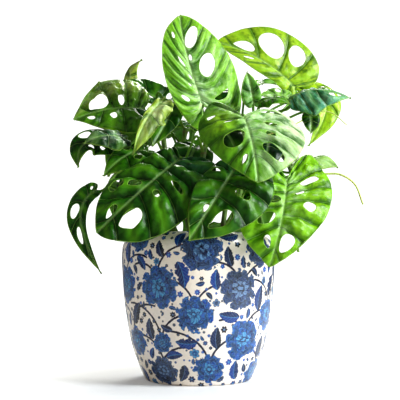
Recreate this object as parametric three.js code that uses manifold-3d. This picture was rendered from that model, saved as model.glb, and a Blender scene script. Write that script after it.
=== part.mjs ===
// A potted swiss cheese plant: a glazed pot filled with soil, five stems, and long-stalked leaves with holes.
// Millimetres, +Z up, the origin at the centre of the pot's base; the front of the plant faces -Y.
import * as THREE from "three";
import { mergeVertices } from "three/addons/utils/BufferGeometryUtils.js";
import Module from "manifold-3d";

const wasm = await Module();
wasm.setup();

// Driving dimensions: the pot
const POT_HEIGHT = 140;
const BASE_RADIUS = 50;
const BELLY_RADIUS = 76.1;
const LIP_RADIUS = 60.5;
const SHOULDER_HEIGHT = 126;
const FOOT_ROUND = 3;
const LIP_WIDTH = 3;
const LIP_DROP = 2;
const LIP_DEPTH = 8;
const WALL = 5;
const FLOOR = 8;
const INNER_FLOOR_ROUND = 4;
const POT_SECTORS = 32;
const WALL_STEPS = 9;
const SHOULDER_STEPS = 4;

// The pot's outer wall from above the foot to the shoulder, as [radius, height]
const OUTER_WALL = [
  [BASE_RADIUS + FOOT_ROUND, FOOT_ROUND],
  [65.2, 33],
  [72.8, 74],
  [BELLY_RADIUS, 112],
  [BELLY_RADIUS, SHOULDER_HEIGHT],
];

// Driving dimensions: the soil and the stems that stand in it
const SOIL_TOP = 119;
const SOIL_HUMP = 2.1;
const SOIL_LEVEL_BAND = 3;
const LUMP_LENGTH = 30;
const SOIL_SECTORS = 12;
const SOIL_RINGS = 3;
const STEM_RADIUS = 3;
const STEM_SIDES = 8;
const STEM_STEPS = 6;
const STEM_FOOT = 98;
const GAP = 0.35;

// Driving dimensions: the leaves
const BLADE_THICKNESS = 0.8;
const STALK_RADIUS = 1.5;
const STALK_SIDES = 5;
const STALK_STEPS = 6;
const STALK_UNDER = 5;
const STALK_BEHIND = 6;
const ROOT_SIDES = 6;
const ROOT_STEPS = 10;

// A blade's margin from the base to the tip, as [part of the midrib, part of the half width];
// the points below zero are the lobe behind the stalk.
const MARGIN = new THREE.SplineCurve(
  [
    [0, 0],
    [-0.07, 0.16],
    [-0.1, 0.42],
    [-0.02, 0.74],
    [0.14, 0.96],
    [0.33, 1],
    [0.55, 0.86],
    [0.76, 0.55],
    [0.91, 0.2],
    [1, 0],
  ].map(([a, b]) => new THREE.Vector2(a, b)),
);
// How much of a wave the margin's two halves are apart, and the station from which the veins bow fully
const RIPPLE_SHIFT = 1.3;
const FULL_BOW = 0.45;

// The stems, each as the points its line runs through above the soil
const STEMS = [
  [[-22, -8, 130], [-30, -8, 175], [-34, -2, 222], [-38, 6, 258]],
  [[5, -22, 130], [2, -22, 180], [6, -12, 230]],
  [[30, -6, 130], [40, -8, 175], [54, -2, 225], [72, 6, 262]],
  [[-8, 26, 130], [-14, 30, 180], [-18, 34, 225], [-14, 36, 262]],
  [[24, 28, 130], [30, 32, 180], [40, 34, 225], [50, 34, 255]],
];

// The leaves. base, bend and tip steer the midrib; up holds the blade's normal at the base and at the tip;
// wide, lobe, peak, full, fold and curl give the left half and then the right half: the half width in mm,
// the depth of the lobe, how far the widest place moves to the tip, how blunt the tip is (lower is blunter),
// and the degrees that the half rises at the midrib and bends back at its edge. sweep says how far the
// side veins' starts gather toward the base, and bow how far a vein bows back on its way. ripple is the height
// in mm and the count of a margin's waves. bays are the stations between the holes, and a hole is
// [bay, from, to, middle, height]: from and to as parts of the half width, the others as parts of the bay.
// stalk is [stem, place along it] and then the points that the stalk passes.
const LEAVES = [
  {
    name: "leaf_01", // the tall one on top
    base: [5, -14, 271], bend: [-15, -44, 319], tip: [-19, -18, 366],
    up: [[0.15, -1, 0.2], [0.1, -0.9, 0.4]],
    wide: [29, 48], lobe: [1.6, 1.5], peak: [0, -0.19], full: [0.78, 0.62], fold: [12, 10],
    curl: [20, 30], sweep: 4, bow: [0.25, 0.6],
    bays: [[0.3, 0.48, 0.575, 0.67, 0.735, 0.8, 0.88], [0.35, 0.5, 0.65, 0.695, 0.8, 0.855, 0.93]],
    holes: [
      [
        [2, 0.42, 0.66, 0.5, 0.4], [3, 0.18, 0.3, 0.8, 0.22], [4, 0.06, 0.22, 0.65, 0.4],
        [5, 0.24, 0.56, 0.32, 0.3], [6, 0.68, 0.83, 0.35, 0.35],
      ],
      [
        [2, 0.28, 0.68, 0.55, 0.25], [4, 0.22, 0.7, 0.52, 0.84], [5, 0.03, 0.15, 0.5, 0.5],
        [6, 0.03, 0.83, 0.46, 0.86],
      ],
    ],
    stalk: [[1, 0.97], [10, -5, 252]],
  },
  {
    name: "leaf_02", // the broad silvery one at the front right
    base: [43, -52, 251], bend: [50, -92, 218], tip: [52, -98, 179],
    up: [[0.05, -0.75, 0.65], [0, -1, 0]],
    wide: [60, 46], lobe: [1.2, 3], peak: [-0.2, -0.25], full: [0.7, 0.8], curl: [30, 40],
    sweep: 4, bow: [0.6, 0.1],
    bays: [[0.22, 0.42, 0.59, 0.71, 0.79, 0.9], [0.25, 0.5, 0.66, 0.81, 0.9]],
    holes: [
      [
        [2, 0.28, 0.76, 0.56, 0.24], [3, 0.3, 0.55, 0.65, 0.22],
        [4, 0.33, 0.57, 0.6, 0.3], [5, 0.3, 0.9, 0.5, 0.5],
      ],
      [
        [1, 0.58, 0.8, 0.72, 0.2], [2, 0.15, 0.45, 0.45, 0.2],
        [3, 0.14, 0.72, 0.53, 0.67], [4, 0.36, 0.78, 0.6, 0.3],
      ],
    ],
    stalk: [[2, 0.75], [48, -22, 250]],
  },
  {
    name: "leaf_03", // the dark one in the middle
    base: [35, -62, 200], bend: [15, -96, 164], tip: [-8, -100, 128],
    up: [[-0.1, -0.9, 0.45], [0, -1, 0]],
    wide: [45, 24], fold: [10, 10], curl: [30, 30],
    bays: [[0.25, 0.4, 0.53, 0.68, 0.88], [0.25, 0.38, 0.53, 0.7, 0.86]],
    holes: [
      [[3, 0.3, 0.62, 0.45, 0.4], [4, 0.38, 0.76, 0.5, 0.7]],
      [[2, 0.4, 0.75, 0.55, 0.3], [4, 0.1, 0.38, 0.5, 0.4]],
    ],
    stalk: [[2, 0.35], [40, -32, 196]],
  },
  {
    name: "leaf_04", // the large dark one over the left of the pot
    base: [-17, -42, 212], bend: [-52, -82, 175], tip: [-89, -86, 136],
    up: [[-0.1, -0.75, 0.65], [-0.3, -0.9, 0.2]],
    wide: [54, 38], peak: [0.15, 0.05], full: [0.5, 0.75], fold: [10, 10], curl: [30, 30],
    bays: [[0.2, 0.34, 0.47, 0.6, 0.74, 0.91], [0.2, 0.36, 0.49, 0.62, 0.77, 0.93]],
    holes: [
      [[3, 0.3, 0.66, 0.5, 0.25], [4, 0.24, 0.42, 0.4, 0.3], [5, 0.28, 0.68, 0.5, 0.75]],
      [
        [1, 0.6, 0.88, 0.5, 0.35], [4, 0.14, 0.46, 0.4, 0.35],
        [4, 0.54, 0.84, 0.55, 0.5], [5, 0.18, 0.52, 0.65, 0.5],
      ],
    ],
    stalk: [[1, 0.95], [-2, -30, 236]],
  },
  {
    name: "leaf_05", // the upper left one
    base: [-57, 8, 275], bend: [-92, -15, 273], tip: [-126, -18, 256],
    up: [[0, -0.75, 0.65], [0, -0.75, 0.65]],
    wide: [38, 54], lobe: [0.3, 1], peak: [0, -0.2], full: [0.9, 1], fold: [0, 10], curl: [20, 10],
    bays: [[0.2, 0.4, 0.6, 0.78, 0.92], [0.2, 0.36, 0.52, 0.68, 0.87]],
    holes: [
      [[3, 0.3, 0.5, 0.5, 0.3], [4, 0.48, 0.72, 0.45, 0.4]],
      [[3, 0.06, 0.36, 0.45, 0.4], [4, 0.08, 0.64, 0.5, 0.8]],
    ],
    stalk: [[0, 0.97], [-46, 10, 268]],
  },
  {
    name: "leaf_06", // the bright one at the lower right
    base: [84, -50, 191], bend: [76, -86, 146], tip: [63, -80, 106],
    up: [[0.1, -0.9, 0.4], [0, -1, -0.1]],
    wide: [44, 40], lobe: [2.2, 1.5], peak: [-0.2, 0.15], full: [1, 0.8], fold: [8, 8], curl: [25, 25],
    bays: [[0.2, 0.34, 0.48, 0.565, 0.68, 0.77, 0.91], [0.2, 0.34, 0.46, 0.6, 0.76, 0.9]],
    holes: [
      [
        [2, 0.3, 0.72, 0.55, 0.4], [3, 0.16, 0.38, 0.35, 0.5],
        [4, 0.4, 0.7, 0.45, 0.5], [6, 0.18, 0.78, 0.45, 0.75],
      ],
      [[3, 0.1, 0.4, 0.6, 0.4], [4, 0.2, 0.62, 0.5, 0.5], [5, 0.34, 0.6, 0.5, 0.6]],
    ],
    stalk: [[2, 0.3], [58, -22, 184], [76, -38, 196]],
  },
  {
    name: "leaf_07", // the arching one at the upper right
    base: [105, 22, 301], bend: [74, 10, 334], tip: [20, 8, 348],
    up: [[0, -0.8, 0.6], [0, -0.64, 0.77]],
    wide: [15, 46], lobe: [1, 1.2], peak: [0.15, 0.05], full: [0.5, 0.7], fold: [-20, 30], curl: [10, 10],
    bays: [[0.3, 0.5, 0.68, 0.82], [0.22, 0.4, 0.57, 0.76, 0.93]],
    holes: [
      [[3, 0.3, 0.7, 0.5, 0.3]],
      [[2, 0.35, 0.86, 0.5, 0.8], [3, 0.2, 0.84, 0.5, 0.85], [4, 0.08, 0.5, 0.5, 0.75]],
    ],
    stalk: [[4, 0.97], [76, 34, 278]],
  },
  {
    name: "leaf_08", // the drooping one at the far left
    base: [-97, -45, 180], bend: [-127, -52, 162], tip: [-89, -50, 101],
    up: [[-0.1, -0.9, 0.3], [-0.1, -1, 0]],
    wide: [9, 14], lobe: [0.6, 0.6], fold: [-60, 5], curl: [20, 20],
    bays: [[0.3, 0.5, 0.7, 0.87], [0.25, 0.4, 0.55, 0.7, 0.87]],
    holes: [[], [[1, 0.3, 0.6, 0.5, 0.4], [3, 0.15, 0.75, 0.5, 0.7], [4, 0.2, 0.7, 0.5, 0.5]]],
    stalk: [[0, 0.3], [-62, -30, 172], [-86, -40, 184]],
  },
  {
    name: "leaf_09", // behind the upper left one
    base: [-36, 42, 289], bend: [-54, 40, 305], tip: [-89, 38, 313],
    up: [[0, -0.7, 0.7], [0, -0.7, 0.7]],
    wide: [16, 26], fold: [10, 10], curl: [10, 10],
    holes: [[[2, 0.3, 0.7, 0.5, 0.4]], [[1, 0.3, 0.8, 0.5, 0.5], [3, 0.3, 0.7, 0.5, 0.5]]],
    stalk: [[3, 0.97], [-24, 40, 276]],
  },
  {
    name: "leaf_10", // a young one standing at the upper left
    base: [-73, 58, 308], bend: [-87, 58, 336], tip: [-64, 56, 346],
    up: [[-0.3, -0.9, 0.2], [0, -0.7, 0.7]],
    wide: [11, 9], fold: [-30, -30], curl: [10, 10],
    stalk: [[3, 0.85], [-38, 52, 268], [-62, 60, 284]],
  },
  {
    name: "leaf_11", // a young, crumpled, yellow one
    base: [-35, -26, 273], bend: [-53, -42, 256], tip: [-62, -50, 213],
    up: [[0.3, -0.8, 0.5], [0.3, -0.95, 0]],
    wide: [17, 5], fold: [20, 20], curl: [20, 20], ripple: [2.5, 5],
    stalk: [[0, 0.9], [-43, -3, 270], [-41, -14, 285]],
  },
  {
    name: "leaf_12", // behind the yellow one
    base: [-26, -8, 275], bend: [-30, -22, 252], tip: [-45, -34, 225],
    up: [[0, -1, 0.3], [0, -0.9, 0.3]],
    wide: [13, 20], fold: [10, 10], curl: [20, 20],
    stalk: [[0, 0.85], [-30, 4, 266]],
  },
  {
    name: "leaf_13", // at the far left
    base: [-89, -28, 227], bend: [-121, -36, 239], tip: [-116, -38, 203],
    up: [[-0.2, -0.8, 0.6], [-0.6, -0.8, 0]],
    wide: [18, 18], fold: [10, 10], curl: [20, 20],
    holes: [[[1, 0.3, 0.7, 0.5, 0.4], [2, 0.3, 0.8, 0.5, 0.6]], [[2, 0.3, 0.8, 0.5, 0.5]]],
    stalk: [[0, 0.48], [-60, -8, 206]],
  },
  {
    name: "leaf_14", // small, in front of the one at the far left
    base: [-71, -34, 233], bend: [-91, -50, 238], tip: [-109, -50, 224],
    up: [[0, -0.7, 0.7], [0, -0.8, 0.6]],
    wide: [18, 16], fold: [-5, -5], curl: [20, 20],
    stalk: [[0, 0.75], [-50, -8, 247]],
  },
  {
    name: "leaf_15", // behind the large dark one
    base: [-52, -14, 226], bend: [-72, -32, 222], tip: [-92, -36, 195],
    up: [[-0.2, -0.8, 0.5], [-0.2, -0.9, 0.2]],
    wide: [24, 15], fold: [10, 10], curl: [20, 20],
    holes: [
      [[1, 0.3, 0.7, 0.5, 0.4], [2, 0.3, 0.7, 0.5, 0.4]],
      [[1, 0.3, 0.7, 0.5, 0.4], [2, 0.3, 0.7, 0.5, 0.4]],
    ],
    stalk: [[0, 0.62], [-41, -8, 216]],
  },
  {
    name: "leaf_16", // yellow-green, behind on the right
    base: [112, 42, 304], bend: [162, 24, 302], tip: [116, 16, 236],
    up: [[0.1, -0.9, 0.5], [0.1, -1, 0]],
    wide: [20, 17], fold: [5, 5], curl: [20, 20],
    holes: [[[2, 0.3, 0.75, 0.5, 0.5]], [[1, 0.3, 0.75, 0.5, 0.4], [2, 0.3, 0.75, 0.5, 0.5]]],
    stalk: [[2, 0.97], [94, 32, 282]],
  },
  {
    name: "leaf_17", // the bluish arch on the right
    base: [91, -22, 275], bend: [113, -30, 295], tip: [153, -26, 276],
    up: [[0, -0.5, 0.85], [0, -0.5, 0.85]],
    wide: [18, 26], peak: [0, 0.1], fold: [-10, -40], curl: [40, 20],
    holes: [[[2, 0.3, 0.7, 0.5, 0.4]], [[3, 0.3, 0.7, 0.5, 0.4]]],
    stalk: [[2, 0.95], [80, -8, 266]],
  },
  {
    name: "leaf_18", // a small dark one hanging on the right
    base: [114, -14, 264], bend: [114, -20, 252], tip: [113, -20, 241],
    up: [[0, -1, 0.2], [0, -1, 0]],
    wide: [9, 9], fold: [5, 5], curl: [20, 20],
    stalk: [[2, 0.9], [92, 2, 262], [108, -2, 268]],
  },
  {
    name: "leaf_19", // a pale one behind the bright one
    base: [95, -10, 212], bend: [116, -20, 224], tip: [139, -22, 206],
    up: [[0, -0.3, 0.9], [0, -0.6, 0.6]],
    wide: [18, 16], fold: [0, -30], curl: [20, 20],
    stalk: [[2, 0.5], [72, -6, 206]],
  },
  {
    name: "leaf_20", // a small one standing between the top and the right
    base: [57, -4, 276], bend: [55, -10, 291], tip: [50, -8, 310],
    up: [[0, -1, 0.2], [0, -1, 0.2]],
    wide: [11, 9], fold: [10, 10], curl: [10, 10],
    stalk: [[2, 0.66], [58, 4, 258]],
  },
  {
    name: "leaf_21", // a small level one beside it
    base: [52, 4, 297], bend: [67, 2, 305], tip: [82, 0, 299],
    up: [[0, -0.5, 0.85], [0, -0.5, 0.85]],
    wide: [14, 12], fold: [5, 5], curl: [10, 10],
    stalk: [[4, 0.9], [48, 22, 280]],
  },
  {
    name: "leaf_22", // a pale level one
    base: [96, 6, 287], bend: [79, 4, 292], tip: [64, 2, 287],
    up: [[0, -0.7, 0.7], [0, -0.7, 0.7]],
    wide: [18, 12], fold: [5, 5], curl: [10, 10],
    holes: [[[2, 0.3, 0.7, 0.5, 0.5]], [[2, 0.3, 0.7, 0.5, 0.5]]],
    stalk: [[2, 0.94], [88, 9, 272], [101, 8, 281]],
  },
  {
    name: "leaf_23", // a dark level one over the broad one
    base: [62, -22, 273], bend: [77, -26, 282], tip: [91, -33, 268],
    up: [[0, -0.6, 0.8], [0, -0.6, 0.8]],
    wide: [8, 14], fold: [-5, -5], curl: [20, 20],
    stalk: [[2, 0.8], [62, -10, 258]],
  },
  {
    name: "leaf_24", // at the back left, over the rim
    base: [-50, 44, 208], bend: [-80, 80, 217], tip: [-98, 104, 162],
    up: [[-0.3, 0.6, 0.8], [-0.5, 0.8, 0.2]],
    wide: [34, 34], fold: [8, 8], curl: [25, 25],
    holes: "usual",
    stalk: [[3, 0.4], [-30, 36, 195]],
  },
  {
    name: "leaf_25", // at the back, over the rim
    base: [-8, 62, 186], bend: [-12, 100, 192], tip: [-18, 112, 126],
    up: [[0, 0.6, 0.8], [0, 1, 0.1]],
    wide: [38, 36], fold: [8, 8], curl: [25, 25],
    holes: "usual",
    stalk: [[3, 0.25], [-9, 44, 172]],
  },
  {
    name: "leaf_26", // at the back right, over the rim
    base: [44, 56, 210], bend: [66, 96, 214], tip: [78, 110, 152],
    up: [[0.2, 0.6, 0.8], [0.3, 1, 0.1]],
    wide: [36, 38], fold: [8, 8], curl: [25, 25],
    holes: "usual",
    stalk: [[4, 0.4], [36, 44, 196]],
  },
  {
    name: "leaf_27", // at the upper back, in the middle
    base: [-4, 52, 268], bend: [-6, 84, 292], tip: [-10, 112, 246],
    up: [[0, 0.3, 1], [0, 1, 0.4]],
    wide: [34, 34], fold: [8, 8], curl: [25, 25],
    holes: "usual",
    stalk: [[3, 0.9], [-10, 44, 262]],
  },
  {
    name: "leaf_28", // at the upper back right
    base: [62, 50, 262], bend: [80, 78, 276], tip: [84, 100, 222],
    up: [[0.2, 0.4, 1], [0.3, 1, 0.3]],
    wide: [30, 30], fold: [8, 8], curl: [25, 25],
    holes: "usual",
    stalk: [[4, 0.85], [52, 40, 254]],
  },
  {
    name: "leaf_29", // at the upper back left
    base: [-44, 46, 262], bend: [-66, 70, 278], tip: [-84, 92, 232],
    up: [[-0.2, 0.4, 1], [-0.4, 0.9, 0.3]],
    wide: [28, 28], fold: [8, 8], curl: [25, 25],
    holes: "usual",
    stalk: [[3, 0.7], [-30, 40, 254]],
  },
  {
    name: "leaf_30", // inside the plant, between the stems
    base: [-2, 14, 236], bend: [-8, -2, 226], tip: [-22, -6, 176],
    up: [[0, -0.8, 0.6], [0, -1, 0.2]],
    wide: [22, 22], fold: [8, 8], curl: [25, 25],
    stalk: [[3, 0.55], [-8, 28, 226]],
  },
  {
    name: "leaf_31", // at the back right, low
    base: [62, 40, 192], bend: [98, 62, 204], tip: [110, 72, 148],
    up: [[0.5, 0.3, 0.8], [0.8, 0.6, 0.2]],
    wide: [30, 30], fold: [8, 8], curl: [25, 25],
    stalk: [[4, 0.35], [46, 38, 180]],
  },
  {
    name: "leaf_32", // at the back left, high
    base: [-58, 22, 238], bend: [-83, 26, 250], tip: [-97, 33, 206],
    up: [[-0.5, 0.3, 0.8], [-0.8, 0.6, 0.2]],
    wide: [26, 26], fold: [8, 8], curl: [25, 25],
    stalk: [[3, 0.6], [-40, 30, 226]],
  },
  {
    name: "leaf_33", // at the back, low on the right
    base: [26, 66, 160], bend: [34, 100, 166], tip: [34, 112, 108],
    up: [[0, 0.6, 0.8], [0, 1, 0.1]],
    wide: [30, 30], fold: [8, 8], curl: [25, 25],
    stalk: [[4, 0.2], [26, 48, 152]],
  },
  {
    name: "leaf_34", // inside the plant, behind the broad one
    base: [20, 8, 250], bend: [32, 0, 256], tip: [44, -12, 208],
    up: [[0, -0.8, 0.6], [0, -1, 0.1]],
    wide: [16, 16], fold: [8, 8], curl: [20, 20],
    stalk: [[1, 0.9], [12, 0, 240]],
  },
  {
    name: "leaf_35", // behind the tall one
    base: [22, 14, 278], bend: [30, 8, 296], tip: [42, 8, 262],
    up: [[0, -0.8, 0.6], [0, -1, 0.1]],
    wide: [17, 17], fold: [8, 8], curl: [20, 20],
    stalk: [[1, 0.7], [10, 8, 256]],
  },
  {
    name: "leaf_36", // inside the plant, behind the broad one's tip
    base: [70, -10, 234], bend: [72, -26, 236], tip: [62, -36, 190],
    up: [[0, -0.8, 0.6], [0, -1, 0.1]],
    wide: [18, 22], fold: [8, 8], curl: [20, 20],
    stalk: [[2, 0.6], [64, -2, 228]],
  },
  {
    name: "leaf_37", // at the right side
    base: [78, 28, 238], bend: [98, 32, 246], tip: [102, 30, 186],
    up: [[0.6, 0, 0.8], [1, 0, 0.1]],
    wide: [22, 22], fold: [8, 8], curl: [25, 25],
    stalk: [[4, 0.6], [60, 28, 230]],
  },
  {
    name: "leaf_38", // at the left side
    base: [-64, 18, 206], bend: [-86, 18, 212], tip: [-88, 18, 150],
    up: [[-0.6, 0, 0.8], [-1, 0, 0.1]],
    wide: [24, 24], fold: [8, 8], curl: [25, 25],
    stalk: [[0, 0.6], [-48, 12, 200]],
  },
  {
    name: "leaf_39", // low at the right side
    base: [76, 2, 176], bend: [98, 4, 182], tip: [102, 8, 124],
    up: [[0.6, 0, 0.8], [1, 0, 0.1]],
    wide: [26, 26], fold: [8, 8], curl: [25, 25],
    stalk: [[2, 0.3], [58, 0, 168]],
  },
];

// What a leaf has where its row doesn't say: a leaf without holes has fewer stations
const USUAL_BAYS = [0.28, 0.5, 0.72];
const PLAIN_BAYS = [0.35, 0.65];
const USUAL_HOLES = [
  [1, 0.3, 0.78, 0.5, 0.42],
  [2, 0.25, 0.75, 0.5, 0.5],
  [3, 0.25, 0.65, 0.35, 0.35],
];
const PAIR = {
  lobe: [1, 1], peak: [0, 0], full: [1, 1], fold: [0, 0], curl: [0, 0], sweep: 2.2, bow: [0.1, 0.1],
  ripple: [0.8, 3],
};

// The roots that hang in the air, each as its points, radius and the stem it leaves
const AIR_ROOTS = [
  {
    name: "air_root_1",
    radius: 1.4,
    stem: [2, 0.45],
    points: [[92, 8, 202], [130, 2, 204], [145, 0, 203], [159, -2, 193], [167, -2, 172]],
  },
  {
    name: "air_root_2",
    radius: 0.8,
    stem: [2, 0.85],
    points: [[104, 12, 260], [128, 9, 272], [140, 8, 270], [155, 7, 257]],
  },
];

const vector = (p) => new THREE.Vector3(...p);

// Corners closer than this are one corner
const MERGE = 1e-4;

// Joining and cutting
function solidOf(geometry) {
  const bare = geometry.clone();
  bare.deleteAttribute("normal");
  bare.deleteAttribute("uv");
  const merged = mergeVertices(bare, MERGE);
  const corners = merged.index.array;
  const kept = [];
  for (let i = 0; i < corners.length; i += 3) {
    const [a, b, c] = corners.slice(i, i + 3);
    if (a !== b && b !== c && c !== a) kept.push(a, b, c);
  }
  return new wasm.Manifold(
    new wasm.Mesh({
      numProp: 3,
      vertProperties: new Float32Array(merged.attributes.position.array),
      triVerts: new Uint32Array(kept),
    }),
  );
}

function geometryOf(solid) {
  const { numProp, vertProperties, triVerts } = solid.getMesh();
  const places = new Float32Array((vertProperties.length / numProp) * 3);
  for (let i = 0; i < places.length / 3; i++) {
    places.set(vertProperties.subarray(i * numProp, i * numProp + 3), i * 3);
  }
  const geometry = new THREE.BufferGeometry();
  geometry.setAttribute("position", new THREE.BufferAttribute(places, 3));
  geometry.setIndex(new THREE.BufferAttribute(new Uint32Array(triVerts), 1));
  geometry.computeVertexNormals();
  return geometry;
}

// A round rod along a curve, with flat ends
function rod(curve, radius, sides, steps) {
  const section = new THREE.Shape();
  for (let i = 0; i < sides; i++) {
    const angle = (2 * Math.PI * i) / sides;
    const [x, y] = [radius * Math.cos(angle), radius * Math.sin(angle)];
    if (i === 0) section.moveTo(x, y);
    else section.lineTo(x, y);
  }
  section.closePath();
  return solidOf(new THREE.ExtrudeGeometry(section, { steps, extrudePath: curve, bevelEnabled: false }));
}

// The pot: a lathed wall with a rounded shoulder that turns in to the lip, on a flat foot
function potProfile() {
  const point = (r, z) => new THREE.Vector2(r, z);
  const wall = new THREE.SplineCurve(OUTER_WALL.map(([r, z]) => point(r, z))).getPoints(WALL_STEPS);
  const [reach, rise] = [BELLY_RADIUS - LIP_RADIUS, POT_HEIGHT - SHOULDER_HEIGHT];
  const shoulder = [];
  for (let i = 1; i <= SHOULDER_STEPS; i++) {
    const angle = (Math.PI / 2) * (i / SHOULDER_STEPS);
    shoulder.push(point(LIP_RADIUS + reach * Math.cos(angle), SHOULDER_HEIGHT + rise * Math.sin(angle)));
  }
  const inside = [
    point(LIP_RADIUS - LIP_WIDTH, POT_HEIGHT - LIP_DROP),
    point(LIP_RADIUS - LIP_WIDTH, POT_HEIGHT - LIP_DEPTH),
    point(BELLY_RADIUS - WALL, SOIL_TOP + SOIL_LEVEL_BAND),
  ];
  for (const [r, z] of [...OUTER_WALL].reverse()) {
    if (z > FLOOR + WALL && z < SOIL_TOP) inside.push(point(r - WALL, z));
  }
  inside.push(point(BASE_RADIUS, FLOOR + INNER_FLOOR_ROUND));
  inside.push(point(BASE_RADIUS - INNER_FLOOR_ROUND, FLOOR));
  return { wall, shoulder, inside };
}

function pot() {
  const { wall, shoulder, inside } = potProfile();
  const axis = (z) => new THREE.Vector2(0, z);
  const foot = new THREE.Vector2(BASE_RADIUS, 0);
  const outline = [axis(0), foot, ...wall, ...shoulder, ...inside, axis(FLOOR)];
  return solidOf(lathe(outline, POT_SECTORS));
}

// A profile that starts and ends on the axis, turned round +Z
function lathe(outline, sectors) {
  return new THREE.LatheGeometry(outline, sectors).rotateX(Math.PI / 2);
}

// How high the soil's uneven top stands, from 0 to 1: two crossed waves and a shorter one across them
function lumps(x, y) {
  const wave = (distance, length) => Math.sin((2 * Math.PI * distance) / length);
  const crossed = wave(x + 3, LUMP_LENGTH) * wave(y + 9, 1.2 * LUMP_LENGTH);
  return 0.5 + 0.35 * crossed + 0.15 * wave(x - y, LUMP_LENGTH / 2);
}

// The soil fills the pot to a low, uneven hump, and the stems stand in plain holes in it
function soil(stemSpaces) {
  const sides = potProfile().inside.filter((p) => p.y < SOIL_TOP).reverse();
  const outline = [new THREE.Vector2(0, FLOOR + GAP)];
  sides.forEach((p) => outline.push(new THREE.Vector2(p.x - 2 * GAP, p.y + GAP)));
  const edge = outline[outline.length - 1].x;
  for (let ring = 0; ring < SOIL_RINGS; ring++) {
    outline.push(new THREE.Vector2((edge * (SOIL_RINGS - ring)) / SOIL_RINGS, SOIL_TOP));
  }
  outline.push(new THREE.Vector2(0, SOIL_TOP));
  const geometry = lathe(outline, SOIL_SECTORS);
  const places = geometry.attributes.position;
  for (let i = 0; i < places.count; i++) {
    const [x, y, z] = [places.getX(i), places.getY(i), places.getZ(i)];
    const inward = Math.min(1, SOIL_RINGS * (1 - Math.hypot(x, y) / edge));
    if (Math.abs(z - SOIL_TOP) < MERGE) places.setZ(i, SOIL_TOP + SOIL_HUMP * inward * lumps(x, y));
  }
  return stemSpaces.reduce((body, space) => body.subtract(space), solidOf(geometry));
}

// The stems
const stemCurves = STEMS.map((points) => {
  const [x, y] = points[0];
  return new THREE.CatmullRomCurve3([vector([x, y, STEM_FOOT]), ...points.map(vector)]);
});
const stemSolid = (curve, extra) => rod(curve, STEM_RADIUS + extra, STEM_SIDES, STEM_STEPS);

// A stem's space is larger by the gap all round and at both ends
function stemSpace(curve) {
  const cap = (end, way) => {
    const edge = curve.getPoint(end);
    const out = curve.getTangent(end).multiplyScalar(way);
    const from = edge.clone().addScaledVector(out, -1);
    const through = new THREE.LineCurve3(from, edge.addScaledVector(out, GAP));
    return rod(through, STEM_RADIUS + GAP, STEM_SIDES, 1);
  };
  return stemSolid(curve, GAP).add(cap(0, -1)).add(cap(1, 1));
}
const stemSpaces = stemCurves.map(stemSpace);

// Where a blade's point lies flat: the part of the midrib and the part of the half width, for
// u from the midrib (0) to the margin (1) and v from the base (0) to the tip (1)
function flatPoint(leaf, half, u, v) {
  const edge = MARGIN.getPoint(v);
  const bulge = Math.sin(Math.PI * v);
  const along = (edge.x < 0 ? edge.x * leaf.lobe[half] : edge.x) + leaf.peak[half] * bulge ** 2;
  const width = Math.max(edge.y, 0) ** leaf.full[half];
  const bow = leaf.bow[half] * bulge * Math.min(1, v / FULL_BOW) ** 2;
  const a = (1 - u) * v ** leaf.sweep + u * along - bow * u * (1 - u);
  return [a, u * width];
}

// The same point in space, lifted off the blade's middle surface along its normal
function bladePoint(leaf, half, u, v, lift) {
  const [a, b] = flatPoint(leaf, half, u, v);
  const [base, bend, tip] = [leaf.base, leaf.bend, leaf.tip].map(vector);
  const t = Math.min(Math.max(a, 0), 1);
  const middle = base.clone().multiplyScalar((1 - t) ** 2);
  middle.addScaledVector(bend, 2 * t * (1 - t)).addScaledVector(tip, t ** 2);
  const start = bend.clone().sub(base);
  const tangent = start.clone().multiplyScalar(2 * (1 - t)).addScaledVector(tip.clone().sub(bend), 2 * t);
  middle.addScaledVector(start, 2 * Math.min(a, 0));
  tangent.normalize();
  const up = vector(leaf.up[0]).lerp(vector(leaf.up[1]), t);
  up.addScaledVector(tangent, -up.dot(tangent)).normalize();
  const side = up.clone().cross(tangent).multiplyScalar(half === 0 ? 1 : -1);
  const rise = THREE.MathUtils.degToRad(-leaf.fold[half]);
  const turn = Math.max(THREE.MathUtils.degToRad(leaf.curl[half]), 1e-3);
  const angle = rise + turn * b;
  const out = (leaf.wide[half] / turn) * (Math.sin(angle) - Math.sin(rise));
  const down = (leaf.wide[half] / turn) * (Math.cos(rise) - Math.cos(angle));
  const wave = leaf.ripple[0] * b ** 2 * Math.sin(2 * Math.PI * leaf.ripple[1] * v + RIPPLE_SHIFT * half);
  const tilt = b > 0 ? angle : 0;
  const normal = up.clone().multiplyScalar(Math.cos(tilt)).addScaledVector(side, Math.sin(tilt));
  return middle.addScaledVector(side, out).addScaledVector(up, wave - down).addScaledVector(normal, lift);
}

// The points of one cell's border as [u, v], from its lower inner corner round by the margin,
// in a run to the midrib that takes in the stations of both halves; a cell that spans the half has
// a point more across it
function cellBorder(inner, outer, from, to, ribStations) {
  const middle = (from + to) / 2;
  const near = inner === 0 ? ribStations.filter((v) => v > from && v < to).reverse() : [middle];
  const across = outer - inner === 1 ? [(inner + outer) / 2] : [];
  return [
    [inner, from],
    ...across.map((u) => [u, from]),
    [outer, from],
    [outer, middle],
    [outer, to],
    ...across.map((u) => [u, to]),
    [inner, to],
    ...near.map((v) => [inner, v]),
  ];
}

// A hole's edge with one point for each point of its cell's border
function holeEdge(border, [, from, to, middle, height], v0, v1) {
  const [cu, cv] = [(from + to) / 2, v0 + middle * (v1 - v0)];
  const [ru, rv] = [(to - from) / 2, (height * (v1 - v0)) / 2];
  return border.map(([u, v]) => {
    const angle = Math.atan2((v - cv) / (v1 - v0), u - cu);
    return [cu + ru * Math.cos(angle), cv + rv * Math.sin(angle)];
  });
}

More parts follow.
